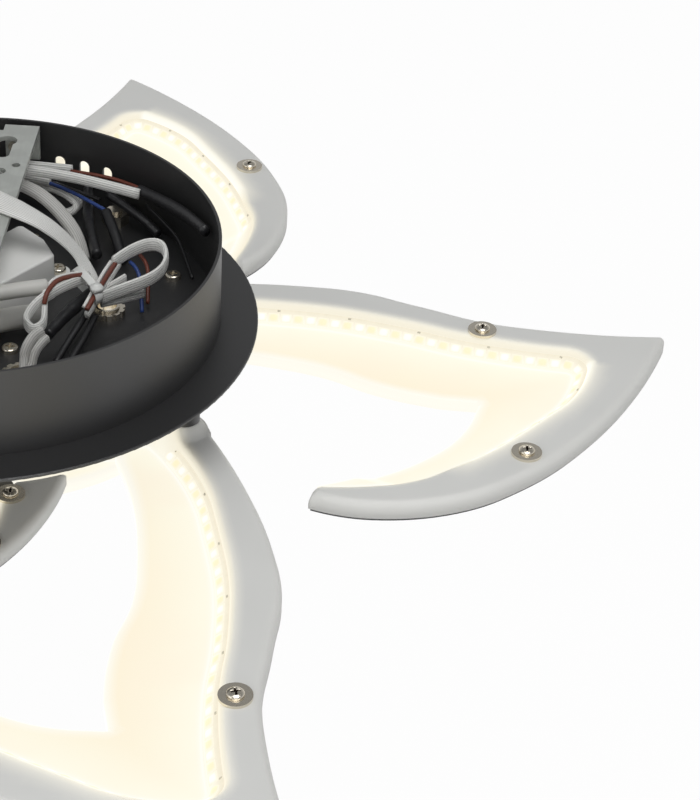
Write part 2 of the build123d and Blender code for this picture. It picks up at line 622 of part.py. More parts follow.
def make_washers(points, top_z):
    """Broad washers under the petal screws."""
    bore = PETAL_SCREW_RADIUS + THREAD_GAP
    return [tube(WASHER_RADIUS, bore, top_z, top_z + WASHER_THICKNESS, x, y) for x, y in points]


def make_petal_screws(points, top_z):
    """Pan-head screws through washer, diffuser and plate."""
    length = WASHER_THICKNESS + SKIRT_HEIGHT + PLATE_THICKNESS + SCREW_PROTRUSION
    screw = pan_screw(PETAL_HEAD_RADIUS, PETAL_HEAD_HEIGHT, PETAL_SCREW_RADIUS, length)
    return [Pos(x, y, top_z + WASHER_THICKNESS) * screw for x, y in points]


def make_lead(radius, route):
    """A lead's tube: straight runs joined by arcs as large as the runs allow."""
    points = [Vector(*point) for point in route]
    runs = [b - a for a, b in zip(points, points[1:])]
    bends = []
    for before, after in zip(runs, runs[1:]):
        half_turn = radians(before.get_angle(after)) / 2
        bends.append(LEAD_BEND * min(before.length, after.length) / tan(half_turn))
    path = FilletPolyline(*points, radius=bends)
    lead = sweep(Plane(path @ 0, z_dir=path % 0) * Circle(radius), path=path)
    section_times_length = pi * radius ** 2 * path.length
    print("lead", radius, "bends", [round(bend, 1) for bend in bends],
          "volume share", round(lead.volume / section_times_length, 4))
    return lead


def make_leads(group):
    """Every lead of one kind."""
    return [make_lead(radius, route) for radius, route in group]


def make_cable_tie():
    """The tie round the flat sleeve: a band with its head at one side."""
    inner = FLAT_SLEEVE[0] + FIT_GAP
    outer = inner + TIE_THICKNESS
    band = Cylinder(outer, TIE_WIDTH) - Cylinder(inner, TIE_WIDTH)
    head = Pos(inner + TIE_HEAD[0] / 2, 0, 0) * Box(*TIE_HEAD)
    return Plane(TIE_PLACE, x_dir=TIE_HEAD_SIDE, z_dir=TIE_DIRECTION) * (band + head)


# Canopy, strap and their screws
save("canopy_pan", make_canopy_pan())
save("base_disc", make_base_disc())
save("mounting_strap", make_mounting_strap())
save("side_screws", make_side_screws())
save("disc_screws", make_floor_screws(disc_screw_points, FLOOR_TOP_Z))

# Driver
save("driver_base", make_driver_base())
save("driver_case", make_driver_case())
save("driver_board", make_driver_board())
save("driver_screws", make_floor_screws(ear_points, FLOOR_TOP_Z + DRIVER_WALL))

# Wire bushings
save("bushing_nipples", [Pos(x, y) * make_bushing_nipple() for x, y in bushing_points])
save("bushing_nuts", [Pos(x, y) * make_lock_nut() for x, y in bushing_points])

# Leads
save("flat_sleeve", make_lead(*FLAT_SLEEVE))
save("grey_sleeves", make_leads(GREY_SLEEVES))
save("white_sleeves", make_leads(WHITE_SLEEVES))
save("white_tubes", make_leads(WHITE_TUBES))
save("heat_shrinks", make_leads(HEAT_SHRINKS))
save("dark_sleeves", make_leads(DARK_SLEEVES))
save("brown_wires", make_leads(BROWN_WIRES))
save("blue_wires", make_leads(BLUE_WIRES))
save("black_wires", make_leads(BLACK_WIRES))
save("cable_tie", make_cable_tie())

# Petal stems
stem_low = PLATE_BOTTOM_Z - FACE_GAP
stem_high = FLOOR_TOP_Z + STEM_NUT_HEIGHT + STEM_END
stem_bolt = rod(STEM_RADIUS, stem_low, stem_high)
stem_bolt += rod(STEM_HEAD_RADIUS, stem_low - STEM_HEAD_HEIGHT, stem_low)
stem_spacer = tube(SPACER_RADIUS, STEM_RADIUS + FIT_GAP, BOSS_TOP_Z + FACE_GAP, DISC_BOTTOM_Z)
stem_nut = hex_nut(STEM_NUT_RADIUS, STEM_RADIUS + THREAD_GAP, STEM_NUT_HEIGHT)
save("stem_bolts", [Pos(x, y) * stem_bolt for x, y in stem_points])
save("stem_spacers", [Pos(x, y) * stem_spacer for x, y in stem_points])
save("stem_nuts", [Pos(x, y, FLOOR_TOP_Z) * stem_nut for x, y in stem_points])

# Petals
boss = Pos(STEM[0], STEM[1], PETAL_TOP_Z) * Cone(
    BOSS_BASE_RADIUS, BOSS_TOP_RADIUS, BOSS_HEIGHT, align=(Align.CENTER, Align.CENTER, Align.MIN))
stem_tube = rod(SPACER_RADIUS, PLATE_TOP_Z, PETAL_TOP_Z, *STEM)
stem_bore = rod(STEM_RADIUS + STEM_CLEARANCE, PLATE_BOTTOM_Z - 1, BOSS_TOP_Z + 1, *STEM)
diffuser = make_diffuser(PETAL, TROUGH, PETAL_TOP_Z, PETAL_SCREWS) + boss + stem_tube - stem_bore
plate = make_plate(PETAL, TROUGH, PLATE_TOP_Z, PETAL_SCREWS) - stem_bore
strip = make_strip(PETAL, TROUGH, STRIP_ZONE, PETAL_TOP_Z)
washers = make_washers(PETAL_SCREWS, PETAL_TOP_Z)
screws = make_petal_screws(PETAL_SCREWS, PETAL_TOP_Z)
for index, swivel in enumerate(PETAL_SWIVELS):
    spin = Rot(0, 0, PETAL_STEP * index) * Pos(*STEM) * Rot(0, 0, swivel) * Pos(-STEM[0], -STEM[1])
    number = index + 1
    save(f"petal_diffuser_{number}", spin * diffuser)
    save(f"petal_plate_{number}", spin * plate)
    save(f"petal_led_strip_{number}", spin * strip)
    save(f"petal_washers_{number}", [spin * piece for piece in washers])
    save(f"petal_screws_{number}", [spin * piece for piece in screws])

# Rosette under the middle
lobe = make_diffuser(LOBE, LOBE_TROUGH, ROSETTE_TOP_Z, LOBE_SCREWS)
lobe_band = make_plate(LOBE, LOBE_TROUGH, ROSETTE_PLATE_TOP_Z, LOBE_SCREWS)
hub = tube(HUB_RADIUS, POST_RADIUS + STEM_CLEARANCE, ROSETTE_PLATE_BOTTOM_Z, ROSETTE_PLATE_TOP_Z)
lobe_floor = plan_face(inset(LOBE, -FIT_GAP))
lobe_floor &= plan_face(inset(LOBE_TROUGH, -PETAL_WALL - FIT_GAP))
hub -= ring_of(slab(lobe_floor, ROSETTE_PLATE_BOTTOM_Z, ROSETTE_PLATE_TOP_Z), LOBE_COUNT)
lobe_strip = make_strip(LOBE, LOBE_TROUGH, LOBE_STRIP_ZONE, ROSETTE_TOP_Z)
rosette_screw_points = []
for index in range(LOBE_COUNT):
    rosette_screw_points += [turned(point, LOBE_STEP * index) for point in LOBE_SCREWS]
rosette_plate = hub
for piece in ring_of(lobe_band, LOBE_COUNT):
    rosette_plate += piece
for x, y in rosette_screw_points:
    rosette_plate -= rod(
        PETAL_SCREW_RADIUS + THREAD_GAP, ROSETTE_PLATE_BOTTOM_Z, ROSETTE_PLATE_TOP_Z, x, y)
save("rosette_plate", rosette_plate)
for index, piece in enumerate(ring_of(lobe, LOBE_COUNT)):
    save(f"rosette_diffuser_{index + 1}", piece)
save("rosette_led_strips", ring_of(lobe_strip, LOBE_COUNT))
save("rosette_washers", make_washers(rosette_screw_points, ROSETTE_TOP_Z))
save("rosette_screws", make_petal_screws(rosette_screw_points, ROSETTE_TOP_Z))

# Central post of the rosette
post_nut_z = ROSETTE_PLATE_BOTTOM_Z - FACE_GAP - POST_NUT_HEIGHT
post_low = post_nut_z - SCREW_PROTRUSION
shoulder_low = ROSETTE_PLATE_TOP_Z + FACE_GAP
flange_low = DISC_BOTTOM_Z - POST_FLANGE_THICKNESS
post = rod(POST_RADIUS, post_low, shoulder_low)
post += rod(POST_SHOULDER_RADIUS, shoulder_low, DISC_BOTTOM_Z)
post += rod(POST_FLANGE_RADIUS, flange_low, DISC_BOTTOM_Z)
post -= rod(POST_BORE_RADIUS, post_low - 1, DISC_BOTTOM_Z + 1)
for x, y in post_screw_points:
    post -= rod(SMALL_SCREW_RADIUS + THREAD_GAP, flange_low - 1, DISC_BOTTOM_Z + 1, x, y)
save("rosette_post", post)
post_nut = hex_nut(POST_NUT_RADIUS, POST_RADIUS + THREAD_GAP, POST_NUT_HEIGHT)
save("post_nut", Pos(0, 0, post_nut_z) * post_nut)
post_screw = Rot(180, 0, 0) * pan_screw(
    SMALL_HEAD_RADIUS, SMALL_HEAD_HEIGHT, SMALL_SCREW_RADIUS, POST_SCREW_LENGTH)
save("post_screws", [Pos(x, y, flange_low) * post_screw for x, y in post_screw_points])

for name, pieces in written.items():
    print(name, len(pieces), round(sum(piece.volume for piece in pieces), 1))
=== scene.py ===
import json
import math

import bmesh
import bpy
import numpy as np
from mathutils import Matrix, Vector
from mathutils.geometry import delaunay_2d_cdt


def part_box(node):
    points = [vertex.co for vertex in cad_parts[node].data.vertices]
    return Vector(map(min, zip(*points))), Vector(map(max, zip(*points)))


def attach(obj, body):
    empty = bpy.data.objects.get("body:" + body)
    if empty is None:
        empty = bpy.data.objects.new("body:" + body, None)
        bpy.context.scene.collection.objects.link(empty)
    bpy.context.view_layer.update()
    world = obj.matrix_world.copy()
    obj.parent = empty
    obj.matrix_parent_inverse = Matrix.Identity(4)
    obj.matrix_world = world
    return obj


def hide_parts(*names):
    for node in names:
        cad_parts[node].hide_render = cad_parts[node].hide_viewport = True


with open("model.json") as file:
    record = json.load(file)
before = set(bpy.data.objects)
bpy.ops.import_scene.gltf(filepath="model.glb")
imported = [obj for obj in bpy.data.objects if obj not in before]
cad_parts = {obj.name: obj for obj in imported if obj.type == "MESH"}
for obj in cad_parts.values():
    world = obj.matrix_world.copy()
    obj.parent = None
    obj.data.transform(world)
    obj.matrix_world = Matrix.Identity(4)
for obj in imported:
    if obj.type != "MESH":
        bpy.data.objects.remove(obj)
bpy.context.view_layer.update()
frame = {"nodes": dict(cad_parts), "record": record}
nodes = frame["nodes"]
scene = bpy.context.scene

# Lengths in this file are in millimetres, as in the part's source, until a mesh is made in metres.
MM = 0.001
PETAL_COUNT = 5
LOBE_COUNT = 3
PETAL_TOP_Z = -71.0
ROSETTE_TOP_Z = -117.0
STEM = (48.9, 76.7)


# Camera

CAMERA_PLACE = (0.15349, -0.74179, 0.43109)
CAMERA_RIGHT = (0.99835343, 0.03201284, 0.04759834)
CAMERA_DOWN = (0.05736221, -0.55716338, -0.82841931)
CAMERA_AHEAD = (0.0, 0.8297856, -0.5580823)
CAMERA_LENS = 98.78


def make_camera():
    """The camera at the photograph's place."""
    data = bpy.data.cameras.new("camera")
    data.lens = CAMERA_LENS
    data.sensor_width = 36.0
    data.clip_start = 0.05
    data.clip_end = 50.0
    camera = bpy.data.objects.new("camera", data)
    turn = Matrix((CAMERA_RIGHT, [-x for x in CAMERA_DOWN], [-x for x in CAMERA_AHEAD])).transposed()
    camera.matrix_world = Matrix.Translation(CAMERA_PLACE) @ turn.to_4x4()
    scene.collection.objects.link(camera)
    scene.camera = camera


make_camera()


# Shader arithmetic

def rgb(red, green, blue):
    """A colour given in screen values from 0 to 255."""
    linear = [c / 255 / 12.92 if c < 10.3 else ((c / 255 + 0.055) / 1.055) ** 2.4 for c in (red, green, blue)]
    return (*linear, 1.0)


def add_node(tree, kind, settings, inputs):
    """A node in any tree, from its type, its settings, and the values or links of its sockets."""
    made = tree.nodes.new(kind)
    for name, value in (settings or {}).items():
        if name == "stops":
            ramp = made.color_ramp
            while len(ramp.elements) < len(value):
                ramp.elements.new(0.5)
            for element, (position, colour) in zip(ramp.elements, value):
                element.position = position
                element.color = colour
        else:
            setattr(made, name, value)
    for key, value in (inputs or {}).items():
        socket = getattr(value, "socket", value)
        if isinstance(socket, bpy.types.NodeSocket):
            tree.links.new(socket, made.inputs[key])
        else:
            made.inputs[key].default_value = value
    return made


class Wire:
    """A shader output that takes part in arithmetic."""

    def __init__(self, shade, socket):
        self.shade = shade
        self.socket = socket

    def math(self, operation, *values):
        return self.shade.node("ShaderNodeMath", {"operation": operation}, dict(enumerate((self, *values))))

    def __add__(self, other):
        return self.math("ADD", other)

    def __mul__(self, other):
        return self.math("MULTIPLY", other)

    def __sub__(self, other):
        return self.math("SUBTRACT", other)

    def __rsub__(self, other):
        return (self * -1.0) + other

    def __truediv__(self, other):
        return self.math("DIVIDE", other)

    __radd__ = __add__
    __rmul__ = __mul__

    def between(self, low, high):
        """0 below low, 1 above high, and smooth from one to the other."""
        return self.shade.node("ShaderNodeMapRange", {"interpolation_type": "SMOOTHSTEP"},
                               {"Value": self, "From Min": low, "From Max": high})


class Shade:
    """The node tree of a material or a world under construction."""

    def __init__(self, name, owners=bpy.data.materials):
        self.material = owners.new(name)
        self.material.use_nodes = True
        self.tree = self.material.node_tree
        self.tree.nodes.clear()
        self.place = self.node("ShaderNodeTexCoord", output="Object")

    def node(self, kind, settings=None, inputs=None, output=0):
        """One output of a new node."""
        return Wire(self, add_node(self.tree, kind, settings, inputs).outputs[output])

    def noise(self, size, detail=2.0, stretch=None):
        """Noise with blobs of about that many millimetres."""
        place = self.place
        if stretch:
            place = self.node("ShaderNodeMapping", {}, {"Vector": place, "Scale": stretch})
        return self.node("ShaderNodeTexNoise", {}, {
            "Vector": place, "Scale": 1.0 / (size * MM), "Detail": detail, "Roughness": 0.5})

    def attribute(self, name):
        return self.node("ShaderNodeAttribute", {"attribute_name": name}, output="Fac")

    def mix(self, factor, one, other):
        """From one colour to another."""
        return self.node("ShaderNodeMix", {"data_type": "RGBA"}, {0: factor, 6: one, 7: other}, output=2)

    def tint(self, colour, amount):
        """A colour made darker or lighter by an amount."""
        return self.node("ShaderNodeVectorMath", {"operation": "SCALE"}, {0: colour[:3], "Scale": amount})

    def done(self, base, roughness, bump=None, bump_size=0.1, bump_strength=0.5, **constants):
        """Closes the material with one surface shader."""
        inputs = {"Base Color": base, "Roughness": roughness}
        if bump is not None:
            inputs["Normal"] = self.node("ShaderNodeBump", {}, {
                "Height": bump, "Distance": bump_size * MM, "Strength": bump_strength})
        for name, value in constants.items():
            inputs[name.replace("_", " ")] = value
        surface = self.node("ShaderNodeBsdfPrincipled", {}, inputs)
        self.node_out(surface)
        return self.material

    def node_out(self, surface, kind="ShaderNodeOutputMaterial"):
        """Links a surface to the tree's output."""
        add_node(self.tree, kind, {}, {"Surface": surface})

    def seen_by(self, *rays):
        """1 for the rays of these kinds."""
        found = [self.node("ShaderNodeLightPath", output=f"Is {ray} Ray") for ray in rays]
        most = found[0]
        for other in found[1:]:
            most = most.math("MAXIMUM", other)
        return most


# Finishes

def make_black_paint():
    """Matte black powder coat with a fine orange peel."""
    shade = Shade("black_powder_coat")
    grain = shade.noise(0.5, 3.0)
    patch = shade.noise(18.0, 2.0)
    base = shade.tint(rgb(24, 24, 25), 0.88 + 0.24 * patch)
    return shade.done(base, 0.4 + 0.12 * grain, grain, 0.05, 0.35, Specular_IOR_Level=1.0)


def make_galvanised():
    """Zinc-coated sheet with pale spangles."""
    shade = Shade("galvanised_sheet")
    cells = shade.node("ShaderNodeTexVoronoi", {}, {"Vector": shade.place, "Scale": 1 / (4.5 * MM)}, "Color")
    spangle = shade.node("ShaderNodeSeparateColor", {}, {0: cells})
    streak = shade.noise(1.2, 4.0, (1.0, 0.12, 1.0))
    base = shade.tint(rgb(196, 199, 194), 0.86 + 0.12 * spangle + 0.12 * streak)
    return shade.done(base, 0.34 + 0.2 * spangle, streak, 0.03, 0.3, Metallic=0.65)


def make_nickel():
    """Nickel plating, slightly warm, with fine handling marks, and painted shade in the screws' cross
    recesses.
    """
    shade = Shade("nickel_plate")
    marks = shade.noise(0.8, 4.0)
    base = shade.tint(rgb(232, 224, 208), 0.88 + 0.2 * marks)
    # Painted shade: the cross recess of each screw is mixed towards a dark brown.
    base = shade.mix(shade.attribute("recess"), base, rgb(44, 38, 32))
    return shade.done(base, 0.16 + 0.14 * marks, marks, 0.01, 0.3, Metallic=1.0)


def make_driver_plastic():
    """Moulded light-grey plastic with spark texture."""
    shade = Shade("driver_plastic")
    spark = shade.noise(0.35, 3.0)
    patch = shade.noise(25.0)
    base = shade.tint(rgb(226, 226, 223), 0.95 + 0.1 * patch)
    return shade.done(base, 0.42 + 0.12 * spark, spark, 0.04, 0.4)


def make_circuit_board():
    """Green board lacquer over copper tracks."""
    shade = Shade("circuit_board")
    tracks = shade.noise(2.0, 1.0).between(0.48, 0.52)
    base = shade.mix(tracks, rgb(30, 84, 52), rgb(52, 118, 70))
    return shade.done(base, 0.3 + 0.2 * tracks, tracks, 0.03, 0.5)


RIB_PITCH = 1.0
STRAND_PITCH = 0.8
STRAND_LEAN = 0.8


def make_braid(name, colour, shade_and_dirt_colour):
    """Woven glass-fibre sleeve: cords along it, crossed by fine strands, with painted shade in the valleys of
    the weave.
    """
    shade = Shade(name)
    place = {0: shade.node("ShaderNodeTexCoord", output="UV")}
    along = shade.node("ShaderNodeSeparateXYZ", {}, place, "X")
    around = shade.node("ShaderNodeSeparateXYZ", {}, place, "Y")
    ribs = (around * (2 * math.pi / (RIB_PITCH * MM))).math("SINE")
    one = ((along + around * STRAND_LEAN) * (2 * math.pi / (STRAND_PITCH * MM))).math("SINE")
    other = ((along - around * STRAND_LEAN) * (2 * math.pi / (STRAND_PITCH * MM))).math("SINE")
    weave = ribs * 0.45 + (one * other) * 0.55
    fuzz = shade.noise(0.6, 3.0)
    dirt = shade.noise(9.0)
    # Painted shade: the valleys of the weave take the dark colour, and the crests keep the sleeve's own
    # colour.
    weave_light_share = (weave + fuzz * 0.6).between(-0.7, 0.5)
    base = shade.mix(weave_light_share, shade_and_dirt_colour, colour)
    # Dirt: broad random patches drawn towards the same dark colour.
    base = shade.mix((1.0 - dirt) * 0.16, base, shade_and_dirt_colour)
    return shade.done(base, 0.82, weave + fuzz * 0.8, 0.16, 0.7, Sheen_Weight=0.25)


def make_smooth(name, colour, roughness, size=2.5, change=0.12, bump=0.05):
    """A plain rubber, silicone or vinyl skin with faint mottling."""
    shade = Shade(name)
    fine = shade.noise(size, 3.0)
    broad = shade.noise(size * 6, 2.0)
    base = shade.tint(colour, 1.0 - change / 2 + change * broad)
    return shade.done(base, roughness + 0.1 * fine, fine, bump, 0.4)


# What glows keeps a dark base, so that lamps add little to its own light
LIT_BASE = rgb(60, 58, 52)
FLANGE = rgb(216, 216, 213)
# Painted highlight on the flange's rounded outer edge.
FLANGE_EDGE_HIGHLIGHT = rgb(222, 221, 216)
FLOOR_STOPS = ((0.0, rgb(250, 247, 233)), (0.1, rgb(250, 246, 228)), (0.5, rgb(249, 241, 219)),
               (1.0, rgb(248, 236, 210)))
RIM_GLOW = rgb(250, 247, 236)
FOOT_GLOW = rgb(251, 250, 242)
FLOOR_CLOUD = rgb(250, 238, 218)
HALO_GLOW = rgb(168, 161, 138)
BAND_FOOT = rgb(253, 248, 231)
BAND_TOP = rgb(238, 230, 208)


def make_diffuser():
    """Frosted moulding: satin grey flange with a painted highlight along its outer edge, and a trough that
    glows from its strip of lights.
    """
    shade = Shade("frosted_diffuser")
    cloud = shade.noise(38.0, 2.0)
    frost = shade.noise(0.5, 2.0)
    flange = shade.tint(FLANGE, 0.95 + 0.1 * cloud)
    # Painted highlight: the flange is lighter within 5 mm of its outer edge.
    flange = shade.mix(shade.attribute("edge") * 0.4, flange, FLANGE_EDGE_HIGHLIGHT)
    lit = shade.attribute("lit")
    base = shade.mix(lit, flange, LIT_BASE)
    floor = shade.node("ShaderNodeValToRGB", {"stops": FLOOR_STOPS}, {0: shade.attribute("depth")})
    floor = shade.mix(cloud.between(0.4, 0.7) * 0.4, floor, FLOOR_CLOUD)
    floor = shade.mix(shade.attribute("rim"), floor, RIM_GLOW)
    floor = shade.mix(shade.attribute("foot"), floor, FOOT_GLOW)
    floor = shade.mix(shade.attribute("rise"), floor, BAND_TOP)
    leak = shade.tint(HALO_GLOW, shade.attribute("halo"))
    glow = shade.mix(lit, leak, floor)
    return shade.done(base, 0.4 + 0.14 * frost, frost, 0.03, 0.2,
                      Emission_Color=glow, Emission_Strength=1.0, Specular_IOR_Level=0.3)


def make_chip_glow():
    """Light chips, warm and cool in turn, each fading into the strip round it."""
    shade = Shade("light_chip")
    tone = shade.mix(shade.attribute("tone"), rgb(254, 254, 248), rgb(255, 243, 206))
    spread = shade.attribute("fall").between(0.0, 0.75)
    glow = shade.mix(spread, rgb(251, 245, 225), tone)
    return shade.done(LIT_BASE, 0.4 + 0.1 * shade.noise(1.0),
                      Emission_Color=glow, Emission_Strength=1.0, Specular_IOR_Level=0.2)


def make_strip_film():
    """The strip's own white film, lit by its chips."""
    shade = Shade("strip_film")
    spots = shade.noise(4.0, 3.0).between(0.35, 0.65)
    foot = shade.mix(spots * 0.6, BAND_FOOT, rgb(252, 248, 236))
    top = shade.mix(spots * 0.6, BAND_TOP, rgb(244, 236, 214))
    glow = shade.mix(shade.attribute("up").between(0.15, 1.0), foot, top)
    return shade.done(LIT_BASE, 0.45 + 0.1 * spots, spots, 0.04, 0.3,
                      Emission_Color=glow, Emission_Strength=1.0, Specular_IOR_Level=0.2)


def make_heat_shrink():
    """Heat-shrunk sleeve: black, satin, drawn in over what it holds, with painted shade in the creases of its
    folds and a painted highlight on their crests.
    """
    shade = Shade("heat_shrink")
    folds_and_crease_shade = shade.noise(3.5, 3.0)
    # Painted shade and highlight: the colour follows the folds, darker in their creases and lighter on their
    # crests.
    base = shade.tint(rgb(30, 30, 32), 0.8 + 0.4 * folds_and_crease_shade)
    return shade.done(base, 0.3 + 0.16 * folds_and_crease_shade, folds_and_crease_shade, 0.5, 0.5)


FINISHES = {
    "black_paint": make_black_paint(),
    "galvanised": make_galvanised(),
    "nickel": make_nickel(),
    "driver_plastic": make_driver_plastic(),
    "circuit_board": make_circuit_board(),
    "diffuser": make_diffuser(),
    "light_strip": make_strip_film(),
    # Each braid's second colour is the painted shade in the weave's valleys, and its dirt.
    "white_braid": make_braid("white_braid", rgb(232, 232, 228), rgb(158, 158, 156)),
    "grey_braid": make_braid("grey_braid", rgb(204, 203, 199), rgb(140, 139, 136)),
    "white_tube": make_smooth("silicone_tube", rgb(190, 189, 184), 0.42, 1.5, 0.14, 0.08),
    "black_tube": make_heat_shrink(),
    "brown_wire": make_smooth("brown_vinyl", rgb(104, 52, 38), 0.38),
    "blue_wire": make_smooth("blue_vinyl", rgb(38, 62, 120), 0.38),
    "black_wire": make_smooth("black_vinyl", rgb(26, 26, 28), 0.38),
    "tie_nylon": make_smooth("tie_nylon", rgb(216, 217, 214), 0.4, 1.2, 0.1, 0.06),
}
CHIP_GLOW = make_chip_glow()
CUT_MARK = make_smooth("cut_mark", rgb(206, 200, 182), 0.5, 0.5)


def slot_of(node):
    """The record's material slot of a CAD node."""
    rows = frame["record"]["subparts"]
    return next((row["material_slot"] for row in rows if row["node"] == node), "black_paint")


def new_piece(name, mesh, body, slot, *stands_for):
    """A finished piece in metres, on its body, with its finish."""
    piece = bpy.data.objects.new(name, mesh)
    scene.collection.objects.link(piece)
    if not mesh.materials:
        mesh.materials.append(FINISHES[slot])
    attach(piece, body)
    if stands_for:
        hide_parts(*stands_for)
    return piece


def mesh_from(name, points, faces):
    """A mesh from points in millimetres."""
    mesh = bpy.data.meshes.new(name)
    mesh.from_pydata([tuple(MM * c for c in p) for p in points], [], [tuple(f) for f in faces])
    mesh.update()
    mesh.shade_smooth()
    return mesh


# Plan curves, as in the part's source

PETAL = (
    ((50.0, 86.2), (85.0, 92.3), (125.7, 94.9), (154.3, 92.7), (182.7, 82.9), (210.7, 72.9),
     (238.4, 69.1), (285.6, 69.2)),
    ((285.6, 69.2), (287.6, 68.6), (288.2, 66.8)),
    ((288.2, 66.8), (275.0, 33.0), (254.8, -3.5), (227.4, -36.9), (201.8, -55.9), (177.0, -63.9),
     (152.2, -64.2), (139.7, -60.8)),
    ((139.7, -60.8), (142.6, -47.7)),
    ((142.6, -47.7), (159.0, -40.0), (179.7, -26.6), (197.2, -7.6), (205.7, 13.3)),
    ((205.7, 13.3), (207.6, 20.4)),
    ((207.6, 20.4), (192.3, 21.1)),
    ((192.3, 21.1), (166.4, 27.8), (139.9, 40.4), (111.0, 47.0), (88.0, 50.0), (52.0, 49.0)),
    ((52.0, 49.0), (31.0, 67.5), (50.0, 86.2)),
)
TROUGH_WALL = (
    ((46.0, 62.5), (89.0, 73.0), (112.0, 72.6), (144.0, 70.1), (172.3, 63.7), (200.0, 55.0),
     (228.0, 49.4), (244.0, 47.7)),
    ((244.0, 47.7), (247.6, 45.9), (248.2, 41.5)),
    ((248.2, 41.5), (243.0, 24.6), (224.6, -0.6), (205.8, -21.3), (194.1, -31.2), (175.5, -44.0),
     (160.0, -48.0), (138.0, -49.5)),
)
TROUGH_REST = (
    ((138.0, -49.5), (131.0, -44.0)), ((131.0, -44.0), (140.0, -20.0)),
    ((140.0, -20.0), (60.0, 15.0)), ((60.0, 15.0), (46.0, 30.0)), ((46.0, 30.0), (46.0, 62.5)),
)
STRIP_ZONE = ((58.0, 85.0), (58.0, 60.0), (185.0, 45.0), (205.0, -10.0), (156.0, -36.0),
              (156.0, -58.0), (215.0, -50.0), (275.0, 20.0), (270.0, 60.0), (200.0, 80.0))
PETAL_SWIVELS = (0.0, -1.7, 0.0, 0.0, -1.8)
PETAL_SCREWS = ((208.8, 63.9), (224.9, -26.2))
LOBE = (
    ((35.4, 7.8), (26.1, -31.4), (1.2, -70.4)),
    ((1.2, -70.4), (-1.6, -71.4), (-4.0, -68.0)),
    ((-4.0, -68.0), (-8.6, -50.0), (-9.3, -36.0), (-9.0, -22.0), (-7.4, -12.8)),
    ((-7.4, -12.8), (7.4, -12.8), (14.6, -1.0)),
    ((14.6, -1.0), (24.2, 2.2), (35.4, 7.8)),
)
LOBE_WALL = (((7.0, -8.0), (8.0, -27.0), (2.0, -51.0), (-3.0, -62.0)),)
LOBE_REST = (
    ((-3.0, -62.0), (-30.0, -58.0)), ((-30.0, -58.0), (-30.0, -12.0)),
    ((-30.0, -12.0), (2.0, -4.0)), ((2.0, -4.0), (7.0, -8.0)),
)
LOBE_STRIP_ZONE = ((3.0, -12.0), (14.0, -12.0), (16.0, -30.0), (3.0, -58.0), (-6.0, -56.0), (3.0, -30.0))
LOBE_SCREWS = ((15.0, -12.0), (10.5, -46.0))


def directions(points):
    """The direction of a smooth curve at each point, from the circle through its neighbours."""
    first = (points[1] - points[0]).normalized()
    last = (points[-1] - points[-2]).normalized()
    if len(points) == 2:
        return [first, last]
    inner = []
    for before, here, after in zip(points, points[1:], points[2:]):
        back, ahead = here - before, after - here
        ratio = ahead.length / back.length
        inner.append((back * ratio + ahead / ratio).normalized())
    return [first * (2 * first.dot(inner[0])) - inner[0], *inner,
            last * (2 * last.dot(inner[-1])) - inner[-1]]


def arc_points(start, way, end, spacing):
    """Points from start up to just before end, on the arc that leaves start that way."""
    chord = end - start
    along = chord.normalized()
    side = Vector((-along.y, along.x))
    turn = math.atan2(side.dot(way), along.dot(way))
    count = max(1, int(math.ceil(chord.length / spacing)))
    if abs(turn) < 1e-6:
        return [start + chord * (i / count) for i in range(count)]
    radius = chord.length / (2 * math.sin(turn))
    centre = start + chord * 0.5 - side * (radius * math.cos(turn))
    arm = start - centre
    return [centre + Matrix.Rotation(-2 * turn * i / count, 2) @ arm for i in range(count)]


def plan_curve(stretches, spacing=1.6):
    """Points along smooth stretches and lines; the last point is left out."""
    out = []
    for stretch in stretches:
        points = [Vector(p) for p in stretch]
        ways = directions(points)
        for a, b, leave, reach_way in zip(points, points[1:], ways, ways[1:]):
            span = b - a
            if len(points) == 2:
                out += arc_points(a, span.normalized(), b, spacing)
                continue
            lean = span.dot(leave + reach_way)
            bend = 2 * (1 - leave.dot(reach_way))
            if bend < 1e-9:
                reach = span.dot(span) / (2 * lean)
            else:
                reach = (math.sqrt(lean ** 2 + bend * span.dot(span)) - lean) / bend
            joint = (a + b + (leave - reach_way) * reach) * 0.5
            first = (joint - a).normalized()
            out += arc_points(a, leave, joint, spacing)
            out += arc_points(joint, first * (2 * first.dot(leave)) - leave, b, spacing)
    return np.array(out)


def nearest(points, line, closed=True):
    """The distance from each point to a line of points."""
    starts = line if closed else line[:-1]
    ends = np.roll(line, -1, axis=0) if closed else line[1:]
    spans = ends - starts
    squares = np.maximum((spans ** 2).sum(1), 1e-12)
    best = np.full(len(points), 1e9)
    for begin in range(0, len(points), 2000):
        part = points[begin:begin + 2000]
        offset = part[:, None] - starts[None]
        t = np.clip((offset * spans[None]).sum(2) / squares, 0, 1)
        gap = offset - t[..., None] * spans[None]
        best[begin:begin + 2000] = np.sqrt((gap ** 2).sum(2)).min(1)
    return best


def is_inside(points, loop):
    """Which points a closed line goes round."""
    x, y = points[:, 0:1], points[:, 1:2]
    ax, ay = loop[:, 0], loop[:, 1]
    bx, by = np.roll(ax, -1), np.roll(ay, -1)
    crosses = (ay > y) != (by > y)
    with np.errstate(divide="ignore", invalid="ignore"):
        at = (bx - ax) * (y - ay) / (by - ay) + ax
    return (crosses & (x < at)).sum(1) % 2 == 1


